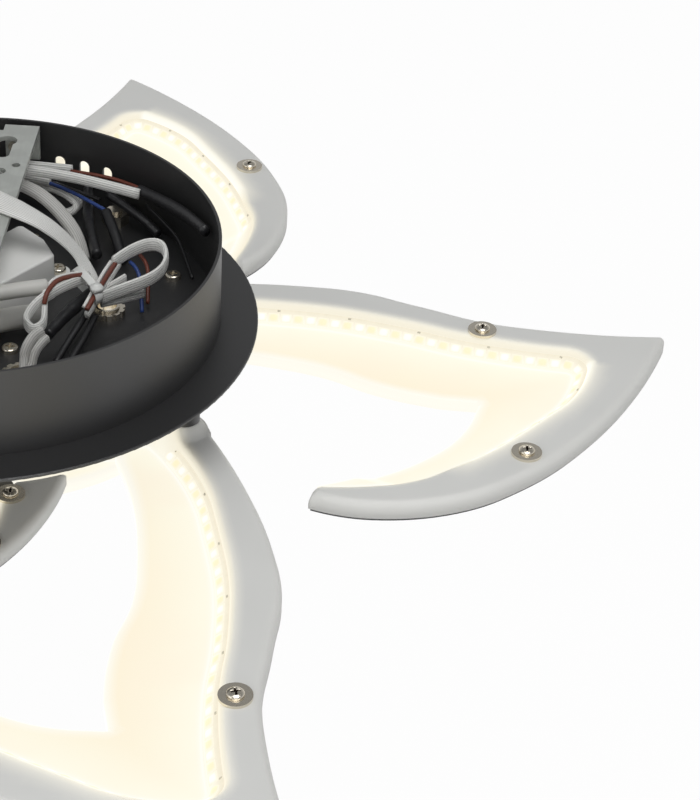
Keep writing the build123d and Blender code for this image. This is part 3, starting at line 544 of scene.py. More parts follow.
def rows_along(line, offsets):
    """Points beside a closed line, at each offset to its right, where no other stretch is nearer."""
    ahead = np.roll(line, -1, axis=0) - np.roll(line, 1, axis=0)
    ahead /= np.linalg.norm(ahead, axis=1, keepdims=True)
    right = np.stack([ahead[:, 1], -ahead[:, 0]], 1)
    found = []
    for offset in offsets:
        row = line + right * offset
        gap = nearest(row, line)
        keep = np.abs(gap - abs(offset)) < 0.04 + 0.02 * abs(offset)
        found.append(row[keep])
    return np.concatenate(found)


def drop(distance, radius):
    """How far a rounded edge has fallen at a distance in from it."""
    inside = np.clip(radius - distance, 0, radius)
    return radius - np.sqrt(np.maximum(radius ** 2 - inside ** 2, 0))


# Heights of a moulding, down from its flange
FLOOR_DROP = 8.0
SHELL = 2.0
SKIRT_DROP = 7.6
RIM_DROP = 13.3
EDGE_ROUND = 3.0
END_ROUND = 5.0
RIM_ROUND = 1.8
BOSS_RADIUS = 6.25
BOSS_FLARE = 4.6
BOSS_HEIGHT = 4.95
BORE = 3.05
BOSS_ROWS = (4.6, BOSS_RADIUS - 0.2, BOSS_RADIUS + 0.15, 7.0, 7.8, 8.8, 10.0, 11.2)
EDGE_ROWS = (0.12, 0.4, 0.9, 1.6, 2.4, 3.2, 5.0)
UNDER_ROWS = (1.9, 2.1)
FLOOR_ROWS = (0.5, 1.0, 1.6, 2.6, 4.5, 8.0)
FLANGE_ROWS = (1.2, 2.6, 4.5)
ROW_GAP = 0.6
BAND_WIDTH = 5.1
BROW = 3.0
# The sheet plate under the free end: its edge, and how deep the trough is above it
PLATE_END = (170.0, -46.0)
PLATE_WAY = (-0.9535, 0.3011)
PLATE_CLEAR_X = 151.0
PLATE_END_X = 185.0
SHALLOW_SHARE = 0.66
SHALLOW_FADE = 6.0
# The outer crescent, beside which the flange glows further out
LEE_START = 222.0
LEE_FADE = 12.0
LEE_LEAN = 0.35
LEE_TOP_Y = 45.0


class Moulding:
    """The plan and heights of one diffuser. The trough's wall leans, and its brow is rounded."""

    def __init__(self, outline, wall, rest, share=1.0, end=None, stem=None):
        self.outline = plan_curve(outline)
        self.wall = plan_curve(wall)
        self.trough = plan_curve((*wall, *rest))
        self.end = end
        self.stem = stem
        self.band = BAND_WIDTH * share
        self.brow = BROW * share
        self.shelf = self.band + self.brow

    def facts(self, points):
        """Distances from the outline and into the trough, for points in plan."""
        edge = nearest(points, self.outline)
        deep = nearest(points, self.trough)
        deep = np.where(is_inside(points, self.trough), deep, -deep)
        return edge, deep

    def lean(self, out):
        """Height of the trough's wall at a distance outside its foot."""
        brow = np.clip(self.shelf - out, 0, self.brow)
        rounded = -self.brow + np.sqrt(np.maximum(self.brow ** 2 - brow ** 2, 0))
        slope = -FLOOR_DROP + np.clip(out / self.band, 0, 1) * (FLOOR_DROP - self.brow)
        return np.where(out < self.band, slope, rounded)

    def shallow(self, points):
        """1 over the sheet plate at the free end, where the trough is less deep, and 0 away from it."""
        if not self.end:
            return np.zeros(len(points))
        across = (points[:, 0] - PLATE_END[0]) * PLATE_WAY[1] - (points[:, 1] - PLATE_END[1]) * PLATE_WAY[0]
        clear = np.minimum(across, points[:, 0] - PLATE_CLEAR_X)
        at_end = (points[:, 0] < PLATE_END_X) & (points[:, 1] < 0)
        return np.clip(1 - clear / SHALLOW_FADE, 0, 1) * at_end

    def top(self, points, edge, deep):
        """Height of the upper skin."""
        rounding = np.full(len(points), EDGE_ROUND)
        if self.end:
            near_end = nearest(points, np.array(self.end), False)
            rounding += (END_ROUND - EDGE_ROUND) * np.clip(1 - near_end / 6, 0, 1)
        depth = 1 - (1 - SHALLOW_SHARE) * self.shallow(points)
        flange = self.lean(-deep) * depth - drop(edge, rounding)
        floor = -FLOOR_DROP * depth - drop(edge, RIM_ROUND)
        height = np.where(deep > 0, floor, np.maximum(flange, -FLOOR_DROP - RIM_ROUND))
        if self.stem:
            reach = self.from_stem(points) - BOSS_RADIUS
            rise = BOSS_HEIGHT * np.clip(1 - reach / BOSS_FLARE, 0, 1) ** 2.3
            rise = np.where(reach < 0.1, BOSS_HEIGHT, rise)
            height = np.where(rise > 0, np.maximum(height, 0) + rise, height)
        return height

    def under(self, points, edge, deep):
        """Height of the lower skin."""
        height = np.where(deep < SHELL - self.shelf, np.where(edge < SHELL, -SKIRT_DROP, -SHELL),
                          -FLOOR_DROP - SHELL)
        height = np.where((deep > SHELL - self.shelf) & (edge < SHELL), -RIM_DROP, height)
        height = np.where(self.shallow(points) > 0.3, np.maximum(height, -SKIRT_DROP + 0.05), height)
        if self.stem:
            reach = self.from_stem(points)
            height = np.where(reach < BOSS_RADIUS, np.minimum(height, -SKIRT_DROP), height)
        return height.astype(float)

    def from_stem(self, points):
        """The distance of each point from the stem's axis."""
        return np.linalg.norm(points - np.array(self.stem), axis=1)

    def round_stem(self, radius, count):
        """Points on a circle round the stem."""
        turn = np.linspace(0, 2 * np.pi, count, endpoint=False)
        return np.array(self.stem) + radius * np.stack([np.cos(turn), np.sin(turn)], 1)

    def skin(self, edge_rows, wall_rows, step):
        """Triangles in plan between the outline and rows of points that carry the shape."""
        rows = [rows_along(self.outline, edge_rows), rows_along(self.trough, wall_rows)]
        if self.stem:
            rows += [self.round_stem(radius, 40) for radius in BOSS_ROWS]
        rows = np.concatenate(rows)
        low, high = self.outline.min(0), self.outline.max(0)
        grid = np.stack(np.meshgrid(np.arange(low[0], high[0], step), np.arange(low[1], high[1], step)), -1)
        grid = grid.reshape(-1, 2)
        grid[:, 0] += (np.round((grid[:, 1] - low[1]) / step) % 2) * step / 2
        rows, grid = rows[is_inside(rows, self.outline)], grid[is_inside(grid, self.outline)]
        rows = rows[nearest(rows, self.outline) > 0.08]
        edge, deep = self.facts(grid)
        clear = (deep > max(wall_rows) + ROW_GAP) | (deep < min(wall_rows) - ROW_GAP)
        clear &= edge > max(edge_rows) + ROW_GAP
        extra = np.concatenate([rows, grid[clear]])
        loops = [self.outline[::-1]]
        if self.stem:
            loops.append(self.round_stem(BORE, 32))
            extra = extra[self.from_stem(extra) > BORE + 0.3]
        flat, edges = [], []
        for loop in loops:
            first = len(flat)
            flat += [Vector(p) for p in loop]
            edges += [(first + i, first + (i + 1) % len(loop)) for i in range(len(loop))]
        flat += [Vector(p) for p in extra]
        made = delaunay_2d_cdt(flat, edges, [], 0, 1e-4, False)
        points = np.array([tuple(v) for v in made[0]])
        faces = np.array([f for f in made[2] if len(f) == 3])
        middle = points[faces].mean(1)
        keep = is_inside(middle, self.outline)
        if self.stem:
            keep &= self.from_stem(middle) > BORE * 0.99
        return points, [tuple(f) for f in faces[keep]]

    def mesh(self, name, top_z):
        """The closed shell, with what its finish needs kept as attributes."""
        brow = [-self.shelf + self.brow * math.sin(math.radians(a)) for a in (0, 15, 30, 45, 60, 75, 88)]
        wall = [-self.band * share for share in (0.97, 0.8, 0.6, 0.4, 0.2, 0.0)]
        wall_rows = (*brow, *wall, *FLOOR_ROWS, *[-self.shelf - gap for gap in FLANGE_ROWS])
        under_wall = (SHELL - self.shelf - 0.1, SHELL - self.shelf + 0.1)
        upper, upper_faces = self.skin(EDGE_ROWS, wall_rows, 4.0)
        lower, lower_faces = self.skin(UNDER_ROWS, under_wall, 9.0)
        up_facts, low_facts = self.facts(upper), self.facts(lower)
        heights = np.concatenate([self.top(upper, *up_facts), self.under(lower, *low_facts)]) + top_z
        plan = np.concatenate([upper, lower])
        faces = list(upper_faces)
        shift = len(upper)
        faces += [tuple(shift + i for i in reversed(f)) for f in lower_faces]
        twin = {tuple(np.round(p, 3)): shift + i for i, p in enumerate(lower)}
        sides = {(a, b) for face in upper_faces for a, b in zip(face, (*face[1:], face[0]))}
        for a, b in sides:
            if (b, a) not in sides:
                below_a, below_b = twin[tuple(np.round(upper[a], 3))], twin[tuple(np.round(upper[b], 3))]
                faces.append((b, a, below_a, below_b))
        mesh = mesh_from(name, np.column_stack([plan, heights]), faces)
        edge = np.concatenate([up_facts[0], low_facts[0]])
        deep = np.concatenate([up_facts[1], low_facts[1]])
        behind = np.clip((self.leeward(plan) + 0.2) / 0.7, 0, 1)
        out = -deep - self.band
        store(mesh, "lit", np.clip(1 - (out + 0.4 - 1.8 * behind) / 2.2, 0, 1))
        store(mesh, "rise", np.clip(-deep / self.band, 0, 1) ** 0.8 * (1 - behind))
        store(mesh, "depth", np.clip(deep / 40.0, 0, 1))
        foot = np.clip(1 - np.abs(deep - 0.9) / 1.0, 0, 1)
        store(mesh, "foot", np.maximum(foot, behind * np.clip(1.3 - np.abs(out + 0.4) / 1.8, 0, 1)))
        store(mesh, "rim", np.clip(1.3 - edge / 3.4, 0, 1) * (deep > 1.0))
        # Painted highlight on the flange, fading over 5 mm in from its outer edge.
        store(mesh, "edge", np.clip(1 - edge / 5.0, 0, 1))
        store(mesh, "halo", np.clip(1 - out / (4.0 + 7.0 * behind), 0, 1) ** (1.8 - 0.2 * behind))
        return mesh

    def leeward(self, points):
        """Towards 1 beside the outer crescent, where the flange glows further out."""
        if not self.stem:
            return np.zeros(len(points))
        x, y = points.T
        return (x - y * LEE_LEAN - LEE_START) / LEE_FADE * (y < LEE_TOP_Y) + (y < 0)


def store(mesh, name, values):
    """Keeps one number for each point of a mesh."""
    attribute = mesh.attributes.new(name, "FLOAT", "POINT")
    attribute.data.foreach_set("value", np.asarray(values, np.float32))


def turned_copy(mesh, name, angle, swivel=0.0):
    """A mesh swivelled about the stem, then turned about the Z axis."""
    copy = mesh.copy()
    copy.name = name
    stem = Vector((STEM[0] * MM, STEM[1] * MM, 0.0))
    own = Matrix.Translation(stem) @ Matrix.Rotation(math.radians(swivel), 4, "Z") @ Matrix.Translation(-stem)
    copy.transform(Matrix.Rotation(math.radians(angle), 4, "Z") @ own)
    return copy


def on_petals(name, mesh, slot, node):
    """A copy of one mesh on each petal, in place of that petal's node."""
    for number, swivel in enumerate(PETAL_SWIVELS, 1):
        copy = turned_copy(mesh, name, 360.0 / PETAL_COUNT * (number - 1), swivel)
        new_piece(f"{name}_{number}", copy, f"petal_{number}", slot, f"{node}_{number}")


def on_lobes(name, mesh):
    """Copies of one mesh, turned to each lobe of the rosette."""
    return [turned_copy(mesh, name, 360.0 / LOBE_COUNT * k) for k in range(LOBE_COUNT)]


petal_plan = Moulding(PETAL, TROUGH_WALL, TROUGH_REST, end=PETAL[3], stem=STEM)
lobe_plan = Moulding(LOBE, LOBE_WALL, LOBE_REST, share=0.6)
on_petals("petal_moulding", petal_plan.mesh("petal", PETAL_TOP_Z), "diffuser", "petal_diffuser")
for number, lobe_mesh in enumerate(on_lobes("lobe", lobe_plan.mesh("lobe", ROSETTE_TOP_Z)), 1):
    new_piece(f"rosette_moulding_{number}", lobe_mesh, "rosette", "diffuser", f"rosette_diffuser_{number}")


# Low-domed screws with a cross recess

HEAD_RADIUS = 3.25
HEAD_EDGE = 0.45
HEAD_DOME = 1.35
HEAD_TURNS = 48
SHANK_RADIUS = 1.45
TIP_RADIUS = 1.15
TIP_TAPER = 0.3


def domed_screw(centre, seat, tip):
    """One screw: points and faces of its dome, recess, rim and shank, and the painted shade of its recess."""
    turn = np.linspace(0, 2 * np.pi, HEAD_TURNS, endpoint=False)
    circle = np.stack([np.cos(turn), np.sin(turn)], 1)
    rings, recess_shade = [], []
    for radius in np.linspace(0.1, HEAD_RADIUS, 24):
        x, y = radius * circle.T
        arm, reach = np.minimum(abs(x), abs(y)), np.maximum(abs(x), abs(y))
        cut = np.clip((0.5 - arm) / 0.2, 0, 1) * np.clip((1.9 - reach) / 0.4, 0, 1) * (1.35 - 0.4 * reach)
        dome = HEAD_EDGE + HEAD_DOME * math.sqrt(1 - 0.97 * (radius / HEAD_RADIUS) ** 2)
        rings.append(np.column_stack([x, y, seat + dome - np.maximum(cut, 0)]))
        # Painted shade, darkest where the recess is cut deepest.
        recess_shade.append(np.clip(cut * 2.5, 0, 1))
    for radius, height in ((HEAD_RADIUS, seat), (SHANK_RADIUS, seat), (SHANK_RADIUS, tip + TIP_TAPER),
                           (TIP_RADIUS, tip)):
        rings.append(np.column_stack([radius * circle, np.full(HEAD_TURNS, height)]))
        recess_shade.append(np.zeros(HEAD_TURNS))
    points = np.concatenate(rings) + np.array([*centre, 0.0])
    faces = [tuple(range(HEAD_TURNS))]
    for ring in range(len(rings) - 1):
        low, high = ring * HEAD_TURNS, (ring + 1) * HEAD_TURNS
        faces += [(high + j, high + (j + 1) % HEAD_TURNS, low + (j + 1) % HEAD_TURNS, low + j)
                  for j in range(HEAD_TURNS)]
    last = (len(rings) - 1) * HEAD_TURNS
    faces.append(tuple(last + j for j in reversed(range(HEAD_TURNS))))
    return points, faces, np.concatenate(recess_shade)


def screw_set(name, centres, washers, screws):
    """The screws of one moulding, on top of its washers."""
    seat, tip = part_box(washers)[1][2] / MM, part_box(screws)[0][2] / MM
    points, faces, recess_shade = [], [], []
    for centre in centres:
        shift = sum(len(p) for p in points)
        some, more, screw_recess_shade = domed_screw(centre, seat, tip)
        points.append(some)
        recess_shade.append(screw_recess_shade)
        faces += [tuple(shift + i for i in face) for face in more]
    mesh = mesh_from(name, np.concatenate(points), faces)
    # Painted shade in the cross recesses, which the nickel finish darkens.
    store(mesh, "recess", np.concatenate(recess_shade))
    mesh.materials.append(FINISHES["nickel"])
    return outward(mesh)


def outward(mesh):
    """Turns every face of a closed mesh outwards."""
    work = bmesh.new()
    work.from_mesh(mesh)
    bmesh.ops.recalc_face_normals(work, faces=work.faces)
    work.to_mesh(mesh)
    work.free()
    mesh.update()
    return mesh


def joined(name, meshes):
    """Several meshes as one, materials kept."""
    objects = []
    for mesh in meshes:
        piece = bpy.data.objects.new(name, mesh)
        scene.collection.objects.link(piece)
        objects.append(piece)
    with bpy.context.temp_override(active_object=objects[0], selected_editable_objects=objects,
                                   selected_objects=objects):
        bpy.ops.object.join()
    mesh = objects[0].data
    bpy.data.objects.remove(objects[0])
    mesh.name = name
    return mesh


petal_screws = screw_set("petal_screws", PETAL_SCREWS, "petal_washers_1", "petal_screws_1")
lobe_screws = screw_set("lobe_screws", LOBE_SCREWS, "rosette_washers", "rosette_screws")
on_petals("petal_domed_screws", petal_screws, "nickel", "petal_screws")
new_piece("rosette_domed_screws", joined("rosette_screws", on_lobes("lobe_screws", lobe_screws)),
          "rosette", "nickel", "rosette_screws")


# Strips of lights, made with Geometry Nodes

class Tree:
    """A Geometry Nodes tree under construction."""

    def __init__(self, name, inputs):
        self.tree = bpy.data.node_groups.new(name, "GeometryNodeTree")
        self.tree.interface.new_socket("Geometry", in_out="INPUT", socket_type="NodeSocketGeometry")
        self.names = {}
        for label, (kind, value) in inputs.items():
            socket = self.tree.interface.new_socket(label, in_out="INPUT", socket_type=kind)
            socket.default_value = value
            self.names[label] = socket.identifier
        self.tree.interface.new_socket("Geometry", in_out="OUTPUT", socket_type="NodeSocketGeometry")
        self.entry = add_node(self.tree, "NodeGroupInput", {}, {})

    def node(self, kind, settings=None, inputs=None, output=0):
        """One output of a new node."""
        return add_node(self.tree, kind, settings, inputs).outputs[output]

    def given(self, label):
        """The tree's own input of that name."""
        return self.entry.outputs[label]

    def finish(self, geometry, material):
        """Ends the tree with realised instances and their material."""
        real = self.node("GeometryNodeRealizeInstances", {}, {"Geometry": geometry})
        painted = self.node("GeometryNodeSetMaterial", {}, {"Geometry": real, "Material": material})
        add_node(self.tree, "NodeGroupOutput", {}, {"Geometry": painted})
        return self


def baked(name, start_mesh, tree, values):
    """Runs a tree on a mesh and returns the plain mesh that it makes."""
    carrier = bpy.data.objects.new(name, start_mesh)
    scene.collection.objects.link(carrier)
    modifier = carrier.modifiers.new("nodes", "NODES")
    modifier.node_group = tree.tree
    for label, value in values.items():
        modifier[tree.names[label]] = value
    bpy.context.view_layer.update()
    evaluated = carrier.evaluated_get(bpy.context.evaluated_depsgraph_get())
    mesh = bpy.data.meshes.new_from_object(evaluated)
    mesh.name = name
    bpy.data.objects.remove(carrier)
    return mesh


def make_chip_tree():
    """Domed chips at an even pitch along a line, tilted to its slope, warm and cool in turn."""
    tree = Tree("chips_along", {
        "Pitch": ("NodeSocketFloat", 5.4 * MM), "Size": ("NodeSocketVector", (MM, MM, MM)),
        "Dome": ("NodeSocketFloat", 0.2 * MM), "Tilt": ("NodeSocketFloat", 0.0),
        "Material": ("NodeSocketMaterial", None)})
    curve = tree.node("GeometryNodeMeshToCurve", {}, {"Mesh": tree.given("Geometry")})
    spaced = tree.node("GeometryNodeResampleCurve", {"mode": "LENGTH"},
                       {"Curve": curve, "Length": tree.given("Pitch")})
    turn = tree.node("FunctionNodeAlignRotationToVector", {"axis": "X", "pivot_axis": "Z"},
                     {"Vector": tree.node("GeometryNodeInputTangent")})
    block = tree.node("GeometryNodeMeshCube", {}, {
        "Size": tree.given("Size"), "Vertices X": 5, "Vertices Y": 5})
    unit = tree.node("ShaderNodeVectorMath", {"operation": "DIVIDE"}, {
        0: tree.node("GeometryNodeInputPosition"), 1: tree.given("Size")})
    square = tree.node("ShaderNodeVectorMath", {"operation": "MULTIPLY"}, {0: unit, 1: unit})
    share = tree.node("ShaderNodeVectorMath", {"operation": "MULTIPLY_ADD"},
                      {0: square, 1: (-4.0, -4.0, 0.0), 2: (1.0, 1.0, 1.0)})
    parts = tree.node("ShaderNodeSeparateXYZ", {}, {0: share})
    fall = tree.node("ShaderNodeMath", {"operation": "MULTIPLY"}, {0: parts, 1: parts.node.outputs[1]})
    marked = tree.node("GeometryNodeStoreNamedAttribute", {"data_type": "FLOAT", "domain": "POINT"},
                       {"Geometry": block, "Name": "fall", "Value": fall})
    rise = tree.node("ShaderNodeMath", {"operation": "MULTIPLY"}, {0: fall, 1: tree.given("Dome")})
    domed = tree.node("GeometryNodeSetPosition", {}, {
        "Geometry": marked, "Offset": tree.node("ShaderNodeCombineXYZ", {}, {"Z": rise})})
    placed = tree.node("GeometryNodeInstanceOnPoints", {},
                       {"Points": spaced, "Instance": domed, "Rotation": turn})
    lean = tree.node("FunctionNodeEulerToRotation", {}, {
        "Euler": tree.node("ShaderNodeCombineXYZ", {}, {"X": tree.given("Tilt")})})
    tilted = tree.node("GeometryNodeRotateInstances", {}, {"Instances": placed, "Rotation": lean})
    parity = tree.node("ShaderNodeMath", {"operation": "MODULO"},
                       {0: tree.node("GeometryNodeInputIndex"), 1: 2.0})
    toned = tree.node("GeometryNodeStoreNamedAttribute", {"data_type": "FLOAT", "domain": "INSTANCE"},
                      {"Geometry": tilted, "Name": "tone", "Value": parity})
    return tree.finish(toned, tree.given("Material"))


chip_tree = make_chip_tree()


def line_mesh(name, points):
    """A line of edges through points in millimetres."""
    mesh = bpy.data.meshes.new(name)
    mesh.from_pydata([tuple(MM * c for c in p) for p in points],
                     [(i, i + 1) for i in range(len(points) - 1)], [])
    return mesh


def shifted(line, distance):
    """A line moved to its right."""
    ahead = np.gradient(line, axis=0)
    ahead /= np.linalg.norm(ahead, axis=1, keepdims=True)
    return line + np.stack([ahead[:, 1], -ahead[:, 0]], 1) * distance


def band_point(plan, share, lift):
    """A point of the strip's section: how far out from the foot, and how high, at a share up the slope."""
    angle = math.atan2(FLOOR_DROP - plan.brow, plan.band)
    out = share * plan.band - lift * math.sin(angle)
    return out, share * (FLOOR_DROP - plan.brow) - FLOOR_DROP + lift * math.cos(angle)


BAND_SECTION = ((0.99, -0.05), (0.97, 0.28), (0.8, 0.38), (0.6, 0.4), (0.4, 0.4), (0.2, 0.38), (0.04, 0.3),
                (0.0, -0.05), (0.1, -0.5), (0.9, -0.5))


def make_band(name, plan, line, top_z):
    """The strip's body, laid on the trough's leaning wall."""
    count = len(line)
    rings, ups = [], []
    for share, lift in BAND_SECTION:
        out, height = band_point(plan, share, lift)
        rings.append(np.column_stack([shifted(line, -out), np.full(count, top_z + height)]))
        ups += [share] * count
    faces = []
    for ring in range(len(rings)):
        after = (ring + 1) % len(rings)
        faces += [(ring * count + i, ring * count + i + 1, after * count + i + 1, after * count + i)
                  for i in range(count - 1)]
    faces.append([ring * count for ring in range(len(rings))])
    faces.append([ring * count + count - 1 for ring in reversed(range(len(rings)))])
    mesh = mesh_from(name, np.concatenate(rings), faces)
    store(mesh, "up", ups)
    return outward(mesh)


CHIP_PITCH = 5.4
CHIP_SIZE = (4.6, 3.9, 0.3)
CHIP_PLACE = (0.42, 0.42)
MARK_PITCH = 29.2
MARK_SIZE = (1.3, 0.8, 0.3)
MARK_PLACE = (0.86, 0.4)


def row_on_band(name, plan, line, top_z, place, pitch, size, dome, material):
    """Equal small pieces along the strip, at one height of its slope."""
    out, height = band_point(plan, *place)
    path = np.column_stack([shifted(line, -out), np.full(len(line), top_z + height)])
    tilt = math.atan2(FLOOR_DROP - plan.brow, plan.band)
    return baked(name, line_mesh(name, path), chip_tree, {
        "Pitch": pitch * MM, "Size": [c * MM for c in size], "Dome": dome * MM, "Tilt": tilt,
        "Material": material})


def make_lights(name, plan, zone, top_z):
    """Body, chips and cut marks of one strip."""
    line = plan.wall[is_inside(plan.wall, np.array(zone))]
    body = make_band(name, plan, line, top_z)
    body.materials.append(FINISHES["light_strip"])
    share = plan.band / BAND_WIDTH
    chip = (CHIP_SIZE[0], CHIP_SIZE[1] * (0.5 + 0.5 * share), CHIP_SIZE[2])
    chips = row_on_band(name, plan, line, top_z, CHIP_PLACE, CHIP_PITCH, chip, 0.35, CHIP_GLOW)
    marks = row_on_band(name, plan, line, top_z, MARK_PLACE, MARK_PITCH, MARK_SIZE, 0.2, CUT_MARK)
    return joined(name, [body, chips, marks])


petal_lights = make_lights("petal_lights", petal_plan, STRIP_ZONE, PETAL_TOP_Z)
lobe_lights = make_lights("lobe_lights", lobe_plan, LOBE_STRIP_ZONE, ROSETTE_TOP_Z)
on_petals("petal_lights", petal_lights, "light_strip", "petal_led_strip")
new_piece("rosette_lights", joined("rosette_lights", on_lobes("lobe_lights", lobe_lights)),
          "rosette", "light_strip", "rosette_led_strips")


# Leads in the pan, swept along their routes

def spline(route):
    """Points along the smooth curve that a route's points pull."""
    curve = bpy.data.curves.new("route", "CURVE")
    curve.dimensions = "3D"
    curve.resolution_u = 12
    thread = curve.splines.new("NURBS")
    thread.points.add(len(route) - 1)
    for point, place in zip(thread.points, route):
        point.co = (*[MM * c for c in place], 1.0)
    thread.order_u = 3
    thread.use_endpoint_u = True
    holder = bpy.data.objects.new("route", curve)
    scene.collection.objects.link(holder)
    mesh = bpy.data.meshes.new_from_object(holder.evaluated_get(bpy.context.evaluated_depsgraph_get()))
    points = np.array([v.co for v in mesh.vertices]) / MM
    bpy.data.objects.remove(holder)
    bpy.data.meshes.remove(mesh)
    return points


SECTION_COUNT = 20


def swept(name, route, half_width, half_height, wide, power=2.6, pinch=None):
    """A sleeve or wire swept along a route; its broad side leans to one direction."""
    path = spline(route)
    ahead = np.gradient(path, axis=0)
    ahead /= np.linalg.norm(ahead, axis=1, keepdims=True)
    lean = np.array(wide, float)
    across = lean - (ahead @ lean)[:, None] * ahead
    across /= np.linalg.norm(across, axis=1, keepdims=True)
    up = np.cross(ahead, across)
    length = np.concatenate([[0], np.cumsum(np.linalg.norm(np.diff(path, axis=0), axis=1))])
    turn = np.linspace(0, 2 * np.pi, SECTION_COUNT, endpoint=False)
    c, s = np.cos(turn), np.sin(turn)
    flat = np.sign(c) * np.abs(c) ** (2 / power) * half_width
    tall = np.sign(s) * np.abs(s) ** (2 / power) * half_height
    girth = np.concatenate([[0], np.cumsum(np.hypot(np.diff(np.append(flat, flat[0])),
                                                    np.diff(np.append(tall, tall[0]))))])
    scale = np.ones(len(path)) if pinch is None else pinch(length / length[-1])
    rings = path[:, None] + scale[:, None, None] * (
        flat[None, :, None] * across[:, None] + tall[None, :, None] * up[:, None])
    points = rings.reshape(-1, 3)
    count, wrap = len(path), SECTION_COUNT
    steps = [(i, j, (j + 1) % wrap) for i in range(count - 1) for j in range(wrap)]
    faces = [(i * wrap + j, i * wrap + k, (i + 1) * wrap + k, (i + 1) * wrap + j) for i, j, k in steps]
    faces += [tuple(range(wrap - 1, -1, -1)), tuple((count - 1) * wrap + j for j in range(wrap))]
    corners = [(length[i + a], girth[j + b]) for i, j, _ in steps
               for a, b in ((0, 0), (0, 1), (1, 1), (1, 0))]
    corners += [(length[0], girth[j]) for j in range(wrap - 1, -1, -1)]
    corners += [(length[-1], girth[j]) for j in range(wrap)]
    mesh = mesh_from(name, points, faces)
    layer = mesh.uv_layers.new(name="UVMap")
    layer.data.foreach_set("uv", (np.array(corners) * MM).ravel())
    return mesh


UPRIGHT = (0.0, 0.0, 1.0)
LEVEL = (0.35, 1.0, 0.0)
FLAT_SLEEVE = ((-38, 38, -11), (-27, 38, -8), (-15, 38, -2), (-5, 33.5, 1.2), (5, 27.4, 1.3),
    (11, 23.2, 1.3), (18.7, 17.8, 1.3), (27.2, 14.1, -0.5), (33.9, 14.8, -6), (39.2, 15.5, -12),
    (43.3, 14.3, -17), (46.3, 9.5, -20), (49.3, 1.4, -21))
GREY_SLEEVES = (
    (3.1, 2.2, LEVEL, ((-14, 82, -18.5), (2.2, 77.3, -17.5), (11.4, 72.6, -17.5), (19.2, 66, -17.5),
     (27.4, 57.7, -19.5), (33.9, 49.8, -22.5), (37.8, 44.7, -26.5), (40.4, 39, -32))),
    (2.5, 1.7, UPRIGHT, ((34.7, -33.7, -21.5), (31.5, -36, -22.5), (29.2, -40.2, -25), (28.3, -41.7, -30),
     (28.4, -45.5, -33.5))),
    (1.9, 1.4, UPRIGHT, ((36.3, -34.6, -24), (33.8, -38.6, -25), (32.1, -40.9, -28), (31.4, -42.5, -32),
     (30, -45, -33.5))),
)
WHITE_SLEEVES = (
    (3.2, 1.7, LEVEL, ((-4, 90.3, -23), (6.6, 88.5, -22.5), (14.9, 85, -22.5), (23.8, 82.5, -23),
     (30.8, 78.1, -24), (33.7, 75, -26.5), (30.8, 74, -29.5), (26, 74.9, -31.6))),
    (2.5, 1.6, UPRIGHT, ((-8, 88.7, -16), (11.2, 88.1, -16.2), (29.4, 87.8, -17))),
    (2.1, 1.5, UPRIGHT, ((-8, 85.5, -19.5), (9.6, 84.1, -19), (20.7, 81, -19.5))),
    (2.3, 1.7, UPRIGHT, ((-8, 77.5, -11), (9, 76.3, -11.5), (24, 74.6, -12), (40.3, 71.7, -13),
     (60.5, 66.6, -15))),
    (2.9, 1.1, UPRIGHT, ((56.3, 11.3, -16), (58.7, 15.9, -16), (62.7, 22, -16), (68.3, 27.4, -16),
     (73.6, 27.2, -16), (76.6, 21.2, -16.5), (76.7, 12.6, -17.5), (73.6, 7.7, -19), (68.5, 3.4, -20),
     (59.9, -1.2, -21.5), (53.5, -6.4, -22))),
    (1.7, 1.1, UPRIGHT, ((57.9, 15.8, -19), (55.9, 5.7, -19), (53.5, -5, -19.5), (49.5, -19, -22.5))),
    (2.0, 1.1, UPRIGHT, ((53.2, -4.5, -25.5), (61.2, 0.6, -26), (68.8, 7.4, -27))),
    (1.9, 1.0, UPRIGHT, ((53.2, -4.4, -20.5), (57.2, 1.4, -20.5), (61.2, 8.1, -21))),
    (2.4, 1.2, UPRIGHT, ((47.1, 3.1, -18.5), (43.6, -5.4, -15.5), (39.2, -12.9, -14), (35.5, -19.1, -13.5),
     (32.1, -24.2, -14), (29.2, -27.9, -16), (27.5, -31.2, -19), (30.4, -33.4, -22), (34.3, -30.9, -21),
     (34.5, -27, -18), (33.7, -22.3, -15.5))),
)
WHITE_CORES = (
    (0.75, ((55.1, 12.8, -16.5), (53.3, 3.5, -16), (51.7, -7.5, -16), (50, -12.7, -17.5),
     (48.2, -18.2, -19.5))),
    (0.75, ((44.2, 2.1, -16), (39.7, -5, -13), (35.9, -11.1, -11.5), (34, -17.7, -11.5),
     (33.1, -22.5, -12.5), (32.9, -23.6, -15.5))),
)
WHITE_TUBES = (
    (3.1, ((-4.7, -31, -11), (9.9, -27.2, -11), (18.2, -24.4, -11), (25.8, -20.9, -11),
     (33.6, -16.5, -12))),
    (4.6, ((1.6, -26.2, -28), (10.5, -21.6, -28), (16.4, -17.2, -28), (23.2, -13.4, -28.5),
     (29.7, -9.7, -29))),
)
HEAT_SHRINKS = (
    (2.75, ((60, 69.6, -14.6), (64.9, 66.5, -15), (76.2, 54.3, -13.5), (84.8, 41.1, -11),
     (91.5, 27.5, -8.5))),
    (2.7, ((35.9, 88, -26), (38, 71.7, -26.3), (41.2, 53.5, -27), (46.3, 36.7, -28))),
    (2.9, ((50.5, 8.7, -26.5), (45.2, -4, -25.5), (39.2, -15.2, -27), (34.7, -24.7, -29))),
)
DARK_SLEEVES = (
    (2.0, ((46, 79, -23), (53, 74, -25), (62.6, 68, -28), (68.9, 62, -31))),
    (2.3, ((46.6, 64.1, -23), (50.1, 56.1, -25), (53.8, 47.3, -29), (56.5, 40, -32))),
)
